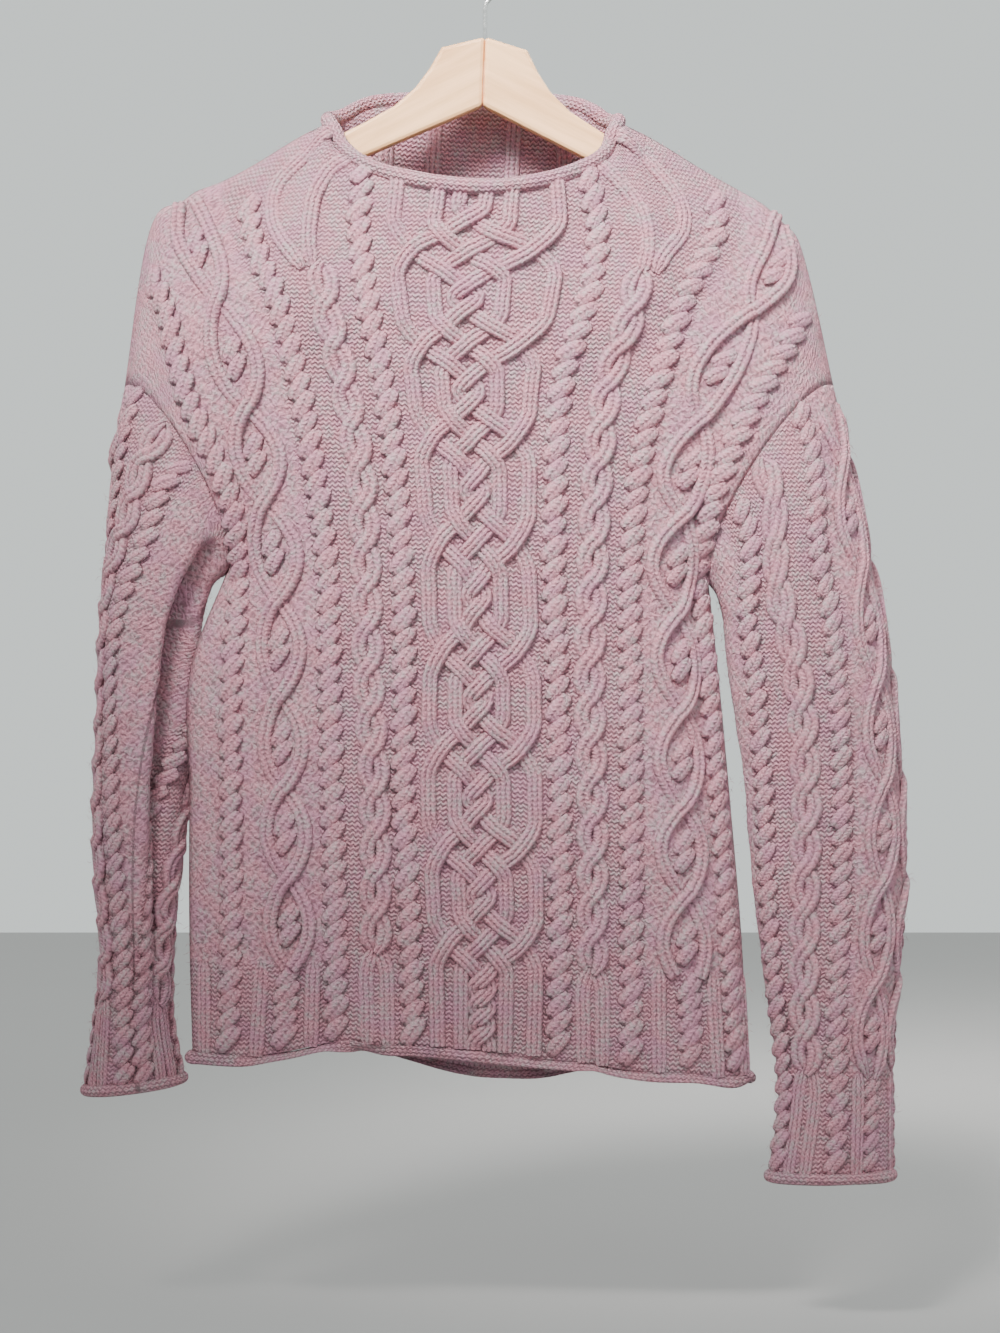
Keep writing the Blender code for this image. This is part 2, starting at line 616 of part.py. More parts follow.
def make_arm(name, side, material, collection):
    """One arm of the hanger: a flat outline with rounded edges, bored for the wire."""
    outline = [(x, z) for x, z in ARM_TOP] + [(x, z) for x, z in ARM_BOTTOM]
    curve = bpy.data.curves.new(name, "CURVE")
    curve.dimensions = "2D"
    curve.fill_mode = "BOTH"
    curve.extrude = HANGER_HALF_THICKNESS * METRE
    spline = curve.splines.new("POLY")
    spline.points.add(len(outline) - 1)
    for target, (x, z) in zip(spline.points, outline):
        target.co = (side * max(x, MITRE_GAP / 2) * METRE, z * METRE, 0.0, 1.0)
    spline.use_cyclic_u = True
    flat = bpy.data.objects.new(name + "_outline", curve)
    collection.objects.link(flat)
    bpy.context.view_layer.update()
    data = bpy.data.meshes.new_from_object(flat.evaluated_get(bpy.context.evaluated_depsgraph_get()))
    bpy.data.objects.remove(flat)
    mesh = bmesh.new()
    mesh.from_mesh(data)
    bmesh.ops.remove_doubles(mesh, verts=mesh.verts, dist=0.00001)
    bmesh.ops.recalc_face_normals(mesh, faces=mesh.faces)
    mesh.to_mesh(data)
    mesh.free()
    data.name = name
    arm = add_object(name, data, material, collection)
    arm.rotation_euler = (math.pi / 2, HANGER_TURN, 0.0)
    arm.location = (0.0, 0.0, HEAD_TOP * METRE)
    edges = arm.modifiers.new("rounded edges", "BEVEL")
    edges.width = HANGER_EDGE * METRE
    edges.segments = 2
    edges.limit_method = "ANGLE"
    edges.angle_limit = math.radians(60)
    return arm


def hook_path():
    """Up the stem, round to the right and over the rail to the open end."""
    stem_bottom = (0.0, HEAD_TOP - BORE_DEPTH + 2.0)
    stem = [(0.0, z) for z in np.linspace(stem_bottom[1], STEM_TOP, 5)]
    first = math.radians(HOOK_START)
    centre = WIRE_RADIUS - HOOK_RADIUS
    start = np.array([HOOK_RADIUS * math.cos(first), centre + HOOK_RADIUS * math.sin(first)])
    leave = np.array([0.0, HOOK_BEND])
    arrive = np.array([-math.sin(first), math.cos(first)]) * HOOK_BEND
    bend = []
    for t in np.linspace(0.0, 1.0, 8)[1:-1]:
        weights = (2 * t**3 - 3 * t**2 + 1, t**3 - 2 * t**2 + t, 3 * t**2 - 2 * t**3, t**3 - t**2)
        bend.append(weights[0] * np.array(stem[-1]) + weights[1] * leave
                    + weights[2] * start + weights[3] * arrive)
    around = [(HOOK_RADIUS * math.cos(a), centre + HOOK_RADIUS * math.sin(a))
              for a in np.radians(np.linspace(HOOK_START, HOOK_END, HOOK_STEPS))]
    return [np.array([x, 0.0, z]) for x, z in stem + bend + around]


def make_hanger(wood, steel, collection, cutters):
    arms = [make_arm("hanger_left_arm", -1, wood, collection),
            make_arm("hanger_right_arm", 1, wood, collection)]
    bpy.ops.mesh.primitive_cylinder_add(
        vertices=16, radius=(WIRE_RADIUS + BORE_CLEARANCE) * METRE, depth=2 * BORE_DEPTH * METRE,
        location=(0.0, 0.0, HEAD_TOP * METRE))
    bore = bpy.context.active_object
    bore.name = "bore_for_the_wire"
    bore.hide_render = True
    bore.display_type = "WIRE"
    for holder in list(bore.users_collection):
        holder.objects.unlink(bore)
    cutters.objects.link(bore)
    for arm in arms:
        cut = arm.modifiers.new("bore", "BOOLEAN")
        cut.object = bore
        cut.operation = "DIFFERENCE"
    tube("hanger_hook", hook_path(), WIRE_RADIUS, False, steel, collection)


def main():
    for thing in list(bpy.data.objects):
        bpy.data.objects.remove(thing)
    collection = bpy.data.collections.new("cable_knit_sweater")
    cutters = bpy.data.collections.new("cutters")
    bpy.context.scene.collection.children.link(collection)
    bpy.context.scene.collection.children.link(cutters)
    wool = make_material("mauve_wool", (0.46, 0.31, 0.34), 0.95)
    wood = make_material("pale_wood", (0.80, 0.60, 0.44), 0.55)
    steel = make_material("bright_steel", (0.72, 0.72, 0.70), 0.2, 1.0)
    grids, normals, wales = make_cloth(wool, collection)
    make_rolls(grids, normals, wales, wool, collection)
    make_hanger(wood, steel, collection, cutters)


main()
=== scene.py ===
import json
import math

import bmesh
import bpy
import numpy as np
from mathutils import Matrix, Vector

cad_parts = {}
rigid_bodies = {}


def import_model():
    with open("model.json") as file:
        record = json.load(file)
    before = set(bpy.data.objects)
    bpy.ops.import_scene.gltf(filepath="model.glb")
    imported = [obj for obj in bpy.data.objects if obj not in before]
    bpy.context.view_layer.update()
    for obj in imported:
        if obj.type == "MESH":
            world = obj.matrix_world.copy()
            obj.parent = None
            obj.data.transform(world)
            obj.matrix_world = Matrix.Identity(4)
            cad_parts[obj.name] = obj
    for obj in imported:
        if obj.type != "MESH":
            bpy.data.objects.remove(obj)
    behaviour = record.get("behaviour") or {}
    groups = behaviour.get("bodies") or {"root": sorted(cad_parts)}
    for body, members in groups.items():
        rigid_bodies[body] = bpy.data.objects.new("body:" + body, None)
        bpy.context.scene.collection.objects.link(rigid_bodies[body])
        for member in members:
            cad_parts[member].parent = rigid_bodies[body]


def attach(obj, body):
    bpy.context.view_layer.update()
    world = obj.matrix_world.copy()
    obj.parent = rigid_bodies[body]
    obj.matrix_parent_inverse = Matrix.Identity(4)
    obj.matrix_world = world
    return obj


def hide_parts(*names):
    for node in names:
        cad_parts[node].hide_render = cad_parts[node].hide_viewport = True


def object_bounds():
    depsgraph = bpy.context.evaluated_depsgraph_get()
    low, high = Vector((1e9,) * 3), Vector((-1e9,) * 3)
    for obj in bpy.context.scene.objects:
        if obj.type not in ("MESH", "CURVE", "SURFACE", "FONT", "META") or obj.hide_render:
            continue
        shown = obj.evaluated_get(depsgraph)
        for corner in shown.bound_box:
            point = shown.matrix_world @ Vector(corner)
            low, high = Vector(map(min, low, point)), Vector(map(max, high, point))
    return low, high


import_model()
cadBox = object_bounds()
mm = 0.001  # the knitting is worked out in millimetres and made in metres

body = {
    "wall": 3.0,
    "shoulderFold": 12.5,
    "shoulderSpread": 120.0,
    "shoulderClosing": 0.75,
    "sectionFlatness": 2.4,
    "sectionRoundness": 0.56,
    "backFlatness": 0.85,
    "foldStart": 0.5,
    "neckWale": 87.0,
    "underarm": 0.558,       # share of the way from the hem to the neck
    "armholeHalfDepth": 28.0,
    "armholeBow": 19.0,
    "armholePace": 0.75,
    "armholeReach": 8,
    "softWaves": 0.7,        # height of the small unevenness of hand-knit cloth
    "stitchWide": 3.7,
    "stitchHigh": 3.2,
    "sleeveWales": 32.0,     # columns of the pattern counted round a sleeve
}
# distance of these wales from the centre at the hem: edge, outer rope, diamond,
# rope, neck side, chain, inner rope and centre
walePlaces = (192.0, 175.0, 136.0, 101.0, 87.0, 73.0, 49.0, 0.0)
courses = (
    # name, share, half depth, how much higher the back lies
    ("hem", 0.0, 26, -16),
    ("welt", 0.127, 34, -10),
    ("waist", 0.297, 38, -4),
    ("ribcage", 0.459, 40, 0),
    ("underarm", 0.558, 42, 0),
    ("breast", 0.663, 44, 6),
    ("chest", 0.784, 46, 18),
    ("yoke", 0.883, 48, 38),
    ("fan", 0.95, 47, 58),
    ("top", 1.0, 45, 74),
)
leftAcross = (
    (-199, -174, -135, -100, -86, -72, -48, 0),
    (-201, -171, -131, -100, -86, -73, -50, 1),
    (-201, -171, -135, -102, -87, -73, -54, -2),
    (-199, -170, -138, -104, -91, -78, -54, -2),
    (-176, -166, -140, -105, -93, -79, -55, -3),
    (-180, -172, -151, -113, -97, -82, -59, -4),
    (-206, -200, -164, -125, -108, -94, -68, -8),
    (-229, -217, -181, -141, -123, -107, -79, -9),
    (-240, -226, -195, -157, -124, -108, -84, -7),
    (-245, -233, -203, -160, -112, -100, -81, -3),
)
leftUp = (
    (-758, -759, -755, -748, -748, -750, -751, -755),
    (-682, -682, -682, -682, -682, -682, -682, -682),
    (-586, -585, -585, -585, -585, -585, -584, -584),
    (-491, -491, -491, -491, -491, -491, -491, -491),
    (-432, -434, -434, -434, -434, -434, -434, -434),
    (-389, -380, -371, -371, -371, -372, -371, -374),
    (-339, -313, -303, -303, -303, -305, -304, -304),
    (-311, -249, -245, -244, -241, -244, -247, -247),
    (-305, -232, -208, -203, -192, -199, -201, -209),
    (-305, -220, -177, -156, -129, -145, -162, -180),
)
rightAcross = (
    (179, 171, 138, 98, 85, 73, 49, 0),
    (175, 165, 136, 98, 85, 72, 50, 1),
    (167, 158, 133, 98, 84, 72, 50, -2),
    (158, 150, 132, 97, 83, 70, 48, -2),
    (152, 145, 129, 97, 84, 72, 46, -3),
    (161, 153, 136, 102, 88, 75, 47, -4),
    (193, 182, 152, 116, 99, 83, 52, -8),
    (220, 207, 183, 135, 117, 101, 70, -9),
    (234, 217, 199, 156, 114, 104, 75, -7),
    (237, 222, 199, 152, 97, 86, 68, -3),
)
rightUp = (
    (-772, -774, -770, -767, -765, -762, -760, -755),
    (-688, -689, -687, -685, -685, -685, -684, -682),
    (-590, -590, -589, -588, -588, -588, -586, -584),
    (-494, -496, -495, -494, -494, -494, -492, -491),
    (-439, -439, -439, -438, -438, -437, -436, -434),
    (-393, -383, -373, -373, -373, -372, -373, -374),
    (-341, -315, -307, -305, -304, -305, -304, -304),
    (-311, -273, -251, -246, -242, -245, -245, -247),
    (-304, -251, -221, -200, -186, -198, -201, -209),
    (-305, -236, -190, -160, -129, -148, -164, -180),
)
sleeveColumns = ("share", "outer x", "outer z", "inner x", "inner z",
                 "half depth", "bow", "outer y", "inner y", "twist")
sleeveRows = {
    "right": (
        (0.00, 237, -305, 152, -439, 28, 19, 0, 0, 0),
        (0.06, 245, -341, 158, -447, 31, 15, 0, 0, 0),
        (0.13, 253, -380, 163, -465, 32, 10, 0, 0, -2),
        (0.22, 263, -426, 164, -488, 31, 6, 0, 0, -4),
        (0.33, 273, -484, 169, -518, 28, 2, 0, 0, -8),
        (0.44, 279, -540, 174, -558, 25, 0, 0, 0, -10),
        (0.58, 284, -617, 180, -620, 22, 0, 0, 1, -12),
        (0.69, 282, -675, 186, -678, 20, 0, 0, 2, -12),
        (0.79, 277, -729, 193, -730, 19, 0, 0, 2, -12),
        (0.88, 276, -777, 199, -777, 18, 0, 0, 2, -12),
        (1.00, 276, -838, 194, -839, 20, 0, 0, 0, -12),
    ),
    "left": (
        (0.00, -245, -305, -176, -432, 28, 19, 0, 0, 0),
        (0.06, -250, -341, -185, -439, 32, 14, 0, 2, 6),
        (0.13, -253, -382, -196, -455, 34, 9, 2, 6, 16),
        (0.22, -257, -427, -204, -478, 36, 5, 4, 12, 34),
        (0.33, -260, -477, -208, -508, 37, 2, 8, 16, 56),
        (0.45, -262, -532, -211, -547, 37, 0, 12, 20, 74),
        (0.57, -265, -586, -213, -591, 36, 0, 16, 22, 84),
        (0.69, -265, -641, -215, -643, 34, 0, 20, 24, 88),
        (0.79, -262, -688, -217, -692, 32, 0, 24, 27, 88),
        (0.89, -267, -732, -217, -737, 29, 0, 28, 30, 86),
        (1.00, -275, -785, -210, -777, 26, 0, 32, 33, 84),
    ),
}
sleeveFolds = (
    # sleeve, angle at top, angle at cuff, half width in degrees, (share, depth) pairs
    ("left", 37, 55, 10, ((0.0, 0), (0.06, 12), (0.12, 25), (0.2, 29), (0.33, 26), (0.5, 18),
                          (0.75, 8), (0.95, 0), (1.0, 0))),
    ("left", 58, 78, 14, ((0.0, 0), (0.1, -2), (0.3, -4), (0.6, -3), (0.9, 0), (1.0, 0))),
    ("left", 6, 12, 20, ((0.0, 0), (0.07, 0), (0.14, -8), (0.22, -13), (0.33, -13), (0.45, -11),
                         (0.6, -6), (0.8, 0), (1.0, 0))),
    ("left", 235, 250, 16, ((0.0, 0), (0.15, 4), (0.45, 5), (0.8, 2), (1.0, 0))),
    ("right", 70, 58, 14, ((0.0, 0), (0.12, 3), (0.35, 4), (0.6, 2), (1.0, 0))),
    ("right", 250, 262, 15, ((0.0, 0), (0.2, 4), (0.5, 3), (0.8, 1), (1.0, 0))),
)
bodyFolds = (
    # side, wale and share where it starts, wale and share where it ends, half width, depth
    ("front", 172, 0.60, 150, 0.30, 13, 3.5),
    ("front", -168, 0.58, -120, 0.25, 16, 2.5),
    ("front", 110, 0.90, 60, 0.72, 16, 2.5),
    ("front", -118, 0.88, -62, 0.70, 16, 2.0),
    ("front", -70, 0.20, -58, 0.0, 26, 3.0),
    ("front", 100, 0.22, 120, 0.0, 24, 2.5),
    ("back", 160, 0.62, 110, 0.28, 15, 3.5),
    ("back", -160, 0.60, -96, 0.24, 15, 3.5),
    ("back", 40, 0.30, 62, 0.0, 24, 3.0),
    ("back", -30, 0.86, 20, 0.55, 22, 2.5),
)


def easeBetween(share):
    share = np.clip(share, 0.0, 1.0)
    return share * share * (3.0 - 2.0 * share)


def unit(vectors):
    # the same directions, each one long
    return vectors / np.maximum(np.linalg.norm(vectors, axis=-1), 1e-9)[..., None]


def walked(points):
    # how far along a line each of its points is
    return np.concatenate([[0.0], np.cumsum(np.linalg.norm(np.diff(points, axis=0), axis=1))])


def fromEnds(count):
    # steps from each of a line's points to its nearer end
    return np.minimum(np.arange(count), np.arange(count)[::-1])


def softCurve(places, values, at):
    # a soft curve through the values, read at the given places
    places, values = np.asarray(places, float), np.asarray(values, float)
    slopes = np.gradient(values, places, axis=0)
    at = np.clip(at, places[0], places[-1])
    i = np.clip(np.searchsorted(places, at) - 1, 0, len(places) - 2)
    step = places[i + 1] - places[i]
    t = (at - places[i]) / step
    if values.ndim > 1:
        step, t = step[:, None], t[:, None]
    start, end = 2 * t**3 - 3 * t**2 + 1, 3 * t**2 - 2 * t**3
    leave, arrive = (t**3 - 2 * t**2 + t) * step, (t**3 - t**2) * step
    return start * values[i] + leave * slopes[i] + end * values[i + 1] + arrive * slopes[i + 1]


def armholeAngle(share):
    return math.pi * ((share - body["underarm"]) / (1.0 - body["underarm"])) ** body["armholePace"]


def ringPoints(outer, inner, halfDepth, bow, angle):
    chord = outer - inner
    towardsBody = np.array([-chord[2] * np.sign(chord[0]), 0.0, abs(chord[0])])
    towardsBody /= np.linalg.norm(towardsBody)
    angle = np.asarray(angle)[:, None]
    along = inner + chord * (1.0 - np.cos(angle)) / 2.0
    depth = np.array([0.0, -halfDepth, 0.0]) * np.sin(angle)
    return along + depth + towardsBody * bow * np.abs(np.sin(angle))


def armholePoints(side, angles):
    row = dict(zip(sleeveColumns, sleeveRows[side][0]))
    outer = np.array([row["outer x"], 0.0, row["outer z"]])
    inner = np.array([row["inner x"], 0.0, row["inner z"]])
    return ringPoints(outer, inner, row["half depth"], row["bow"], angles)


def halfOutline(across, up, side, shares):
    heights = [course[1] for course in courses]
    table = np.stack([np.array(across, float), np.array(up, float)], axis=2)
    places = softCurve(heights, table.reshape(len(heights), -1), shares).reshape(len(shares), -1, 2)
    low = [h for h in heights if h <= body["underarm"]]
    places[:, 0] = softCurve(low, table[:len(low), 0], np.minimum(shares, body["underarm"]))
    inArmhole = shares > body["underarm"]
    hole = armholePoints(side, armholeAngle(shares[inArmhole]))
    places[inArmhole, 0] = hole[:, (0, 2)]
    return places


def foldDepth(side, wales, shares):
    depth = np.zeros(np.broadcast(wales, shares).shape)
    for name, wale0, share0, wale1, share1, halfWidth, height in bodyFolds:
        if name != side:
            continue
        t = np.clip((shares - share0) / (share1 - share0), 0.0, 1.0)
        inside = ((shares - share0) * (shares - share1) < 0).astype(float)
        line = wale0 + (wale1 - wale0) * t
        depth += height * inside * np.sin(np.pi * t) * np.exp(-((wales - line) / halfWidth) ** 2)
    return depth


def panelPoints(side, wales, shares):
    left = halfOutline(leftAcross, leftUp, "left", shares)
    right = halfOutline(rightAcross, rightUp, "right", shares)
    knots = np.concatenate([-np.array(walePlaces), np.array(walePlaces[-2::-1])])
    places = np.concatenate([left, right[:, -2::-1]], axis=1)
    flat = np.stack([softCurve(knots, row, wales) for row in places])
    heights = [course[1] for course in courses]
    depths = softCurve(heights, [course[2] for course in courses], shares)
    lifts = softCurve(heights, [course[3] for course in courses], shares)
    if side == "back":
        depths = depths * body["backFlatness"]
        bell = np.clip(1.0 - (wales / body["neckWale"]) ** 2, 0.0, 1.0)
        flat[:, :, 1] += lifts[:, None] * bell[None, :]
    middle = softCurve(knots, places[-1], np.array([0.0]))[0, 0]
    neckX = softCurve(knots, places[-1], np.array([-body["neckWale"], body["neckWale"]]))[:, 0]
    topX = flat[-1, :, 0]
    reach = np.where(topX < middle, neckX[0], neckX[1]) - middle
    topDepth = depths[-1] * np.sqrt(np.clip(1.0 - ((topX - middle) / reach) ** 2, 0.0, 1.0))
    drop = np.linalg.norm(flat - flat[-1], axis=2)
    fold = np.sqrt(np.clip(1.0 - (1.0 - np.clip(drop / body["shoulderFold"], 0, 1)) ** 2, 0, 1))
    part = body["shoulderFold"] / depths[:, None]
    spread = easeBetween(drop / body["shoulderSpread"]) ** body["shoulderClosing"]
    closing = part * fold + (1.0 - part) * spread
    inner = topDepth + (depths[:, None] - topDepth) * closing
    centre = flat[:, [len(wales) // 2], 0]
    edges = np.where(flat[:, :, 0] < centre, flat[:, [0], 0], flat[:, [-1], 0])
    sideShare = (flat[:, :, 0] - centre) / (edges - centre)
    share = np.clip(1.0 - np.abs(sideShare) ** body["sectionFlatness"], 0.0, 1.0) ** body["sectionRoundness"]
    edgeDepth = (body["armholeHalfDepth"] * np.sin(armholeAngle(np.maximum(shares, body["underarm"]))))[:, None]
    edgeDepth[-1] = 0.0
    depth = inner * share + edgeDepth * np.abs(sideShare) ** body["armholeReach"]
    fade = np.minimum(share / body["foldStart"], 1.0)
    depth -= foldDepth(side, wales[None, :], shares[:, None]) * fade
    sign = -1.0 if side == "front" else 1.0
    return np.stack([flat[:, :, 0], sign * depth, flat[:, :, 1]], axis=2)


def sleeveAngles(share, twist, columns):
    # a column's angle round the sleeve: as the armhole has it, then evenly spread
    count = body["sleeveWales"]
    folded = np.minimum(columns % count, count - columns % count) / (count / 2)
    climb = 1.0 - (1.0 - folded) ** 1.5
    front = armholeAngle(body["underarm"] + (1.0 - body["underarm"]) * climb)
    front = front + (np.pi * folded - front) * easeBetween(share / 0.2)
    return np.where(columns % count <= count / 2, front, 2 * np.pi - front) + math.radians(twist)


def sleevePoints(side, columns, shares):
    rows = np.array(sleeveRows[side], float)
    table = softCurve(rows[:, 0], rows[:, 1:], shares)
    rings = []
    for share, values in zip(shares, table):
        row = dict(zip(sleeveColumns[1:], values))
        outer, inner = (np.array([row[end + axis] for axis in (" x", " y", " z")]) for end in ("outer", "inner"))
        angles = sleeveAngles(share, row["twist"], columns)
        ring = ringPoints(outer, inner, row["half depth"], max(row["bow"], 0.0), angles)
        centre = (outer + inner) / 2.0
        for name, top, low, width, depths in sleeveFolds:
            if name != side:
                continue
            place = top + (low - top) * share
            off = (np.degrees(angles) - place + 180.0) % 360.0 - 180.0
            depth = np.interp(share, *np.transpose(depths))
            ring = ring + unit(centre - ring) * (depth * np.exp(-(off / width) ** 2))[:, None]
        rings.append(ring)
    return np.array(rings)


def softWaves(points):
    # a low uneven swell, the same each time, in millimetres
    x, y, z = points[..., 0], points[..., 1], points[..., 2]
    swell = np.sin(x / 13.0 + 1.3 * np.sin(z / 31.0)) * np.sin(z / 17.0 + 0.9 * np.sin(x / 23.0 + y / 19.0))
    swell += 0.6 * np.sin(x / 7.3 + z / 11.1 + 2.0) * np.sin(z / 8.7 - y / 9.0 + 0.5)
    return body["softWaves"] * swell


def makeCloth(points, closed, turned, across, up):
    # the cloth's points with their outward normals, and stitches counted across and up
    wrapped = np.concatenate([points[:, -1:], points, points[:, :1]], axis=1) if closed else points
    alongRow = np.gradient(wrapped, axis=1)[:, 1:-1] if closed else np.gradient(points, axis=1)
    normals = unit(np.cross(alongRow, np.gradient(points, axis=0)) * (-1.0 if turned else 1.0))
    counted = np.stack([walked(row) for row in points])
    stitchAcross = (counted - counted[:, [points.shape[1] // 2]]) / body["stitchWide"]
    stitchUp = np.stack([walked(column) for column in points.swapaxes(0, 1)], axis=1) / body["stitchHigh"]
    if closed:
        stitchUp = stitchUp[-1:] - stitchUp
    return {"points": points, "normals": normals, "closed": closed, "across": across, "up": up,
            "stitchAcross": stitchAcross, "stitchUp": stitchUp}


def onCloth(cloth, across, up):
    # places and normals at any wale and share, between the cloth's own points
    across, up = np.broadcast_arrays(np.asarray(across, float), np.asarray(up, float))
    rows, columns = cloth["points"].shape[:2]
    i = np.interp(up, cloth["up"], np.arange(rows))
    if cloth["closed"]:
        j = (across % body["sleeveWales"]) / body["sleeveWales"] * columns
    else:
        j = np.interp(across, cloth["across"], np.arange(columns))
    i0 = np.minimum(i.astype(int), rows - 2)
    j0 = j.astype(int) if cloth["closed"] else np.minimum(j.astype(int), columns - 2)
    fi, fj = (i - i0)[..., None], (j - j0)[..., None]
    j0 = j0 % columns
    j1 = (j0 + 1) % columns
    out = []
    for grid in (cloth["points"], cloth["normals"]):
        low = grid[i0, j0] * (1 - fj) + grid[i0, j1] * fj
        high = grid[i0 + 1, j0] * (1 - fj) + grid[i0 + 1, j1] * fj
        out.append(low * (1 - fi) + high * fi)
    return out[0], unit(out[1])


clothSizes = {
    "frontStep": 2.2,     # between the points of the front's outer face
    "backStep": 3.2,
    "sleeveStep": 2.6,
    "frontStrand": 2.4,   # between the rings of a strand laid on each cloth
    "backStrand": 3.6,
    "sleeveStrand": 2.5,
    "lowHeight": 340,     # of a panel, from the hem to the underarm
    "highHeight": 290,    # and from there to the shoulder
    "sleeveRound": 250,
    "sleeveLength": 520,
    "purlGrain": 0.07,    # how uneven the stitches stand in the mesh itself
    "mossGrain": 0.20,
    "grainSeed": 7,
}


def evenCount(length, step):
    return int(clothSizes[length] / step / 2) * 2


def panelCloth(side):
    step, edge = clothSizes[side + "Step"], walePlaces[0]
    wales = np.linspace(-edge, edge, 2 * int(edge / step) + 1)
    low = np.linspace(0.0, body["underarm"], evenCount("lowHeight", step) + 1)
    high = np.linspace(body["underarm"], 1.0, evenCount("highHeight", step) + 1)[1:]
    shares = np.concatenate([low, high])
    cloth = makeCloth(panelPoints(side, wales, shares), False, side == "back", wales, shares)
    return {**cloth, "strandStep": clothSizes[side + "Strand"]}


def sleeveCloth(side):
    step, around = clothSizes["sleeveStep"], body["sleeveWales"]
    columns = np.arange(0, around, around / evenCount("sleeveRound", step))
    shares = np.linspace(0.0, 1.0, evenCount("sleeveLength", step) + 1)
    cloth = makeCloth(sleevePoints(side, columns, shares), True, side == "right", columns, shares)
    return {**cloth, "strandStep": clothSizes["sleeveStrand"]}


clothOf = {"front": panelCloth("front"), "back": panelCloth("back"),
           "left": sleeveCloth("left"), "right": sleeveCloth("right")}
print("cloth laid out", {name: cloth["points"].shape[:2] for name, cloth in clothOf.items()})


def fill(node, sockets):
    # fills a node's sockets, by name or number, from other nodes or with plain values
    for socket, value in sockets.items():
        if isinstance(value, bpy.types.NodeSocket):
            node.id_data.links.new(value, node.inputs[socket])
        else:
            node.inputs[socket].default_value = value


def nodeMaker(tree):
    # adds a node with its settings, its sockets filled from a dictionary
    def add(kind, sockets=(), **settings):
        node = tree.nodes.new(kind)
        for name, value in settings.items():
            setattr(node, name, value)
        fill(node, dict(sockets))
        return node
    return add


def newMaterial(name, plain):
    # a material whose shader has these plain values, and short ways to add nodes to it
    material = bpy.data.materials.new(name)
    material.use_nodes = True
    add = nodeMaker(material.node_tree)
    shader = material.node_tree.nodes["Principled BSDF"]
    fill(shader, plain)

    def sums(operation, first, second=0.0, third=0.0, clamp=False):
        return add("ShaderNodeMath", {0: first, 1: second, 2: third},
                   operation=operation, use_clamp=clamp).outputs[0]

    def mixed(share, first, second):
        return add("ShaderNodeMix", {0: share, 6: first, 7: second}, data_type="RGBA").outputs[2]

    def noise(vector, scale, detail=2.0, rough=0.5):
        return add("ShaderNodeTexNoise", {"Vector": vector, "Scale": scale, "Detail": detail,
                                          "Roughness": rough}).outputs["Fac"]

    def between(value, low, high, first=0.0, second=1.0):
        return add("ShaderNodeMapRange", {"Value": value, "From Min": low, "From Max": high,
                                          "To Min": first, "To Max": second}).outputs[0]

    def raised(height, strength, distance):
        return add("ShaderNodeBump", {"Strength": strength, "Distance": distance, "Height": height}).outputs[0]

    place = add("ShaderNodeTexCoord").outputs["Object"]
    return material, shader, place, noise, between, mixed, sums, add, raised


wool = {
    "pink": (0.567, 0.244, 0.299, 1.0),
    "pale": (0.775, 0.424, 0.479, 1.0),
    "deep": (0.331, 0.120, 0.166, 1.0),
    "lilac": (0.491, 0.240, 0.341, 1.0),
    "grey": (0.454, 0.378, 0.387, 1.0),
    "paintedShadeColour": (0.17, 0.085, 0.105, 1.0),  # painted shade: the dark colour laid down between the stitches, where shade falls
    # how strongly the painted shade darkens the lowest places between the stitches
    "paintedShadeStrength": 0.72,
    "stitchHeight": 0.0013,  # metres
    "fibreScale": 1500.0,    # each scale is roughly one over the size in metres
    "fleckScale": 620.0,
    "greyScale": 330.0,
    "patchScale": 85.0,
    "lilacScale": 46.0,
    "looseness": 0.7,        # how far the rows of stitches wander
    "mossLooseness": 2.2,
    "shader": {"Roughness": 0.95, "Specular IOR Level": 0.15, "Sheen Weight": 0.16,
               "Sheen Roughness": 0.55, "Sheen Tint": (0.95, 0.86, 0.88, 1.0)},
}


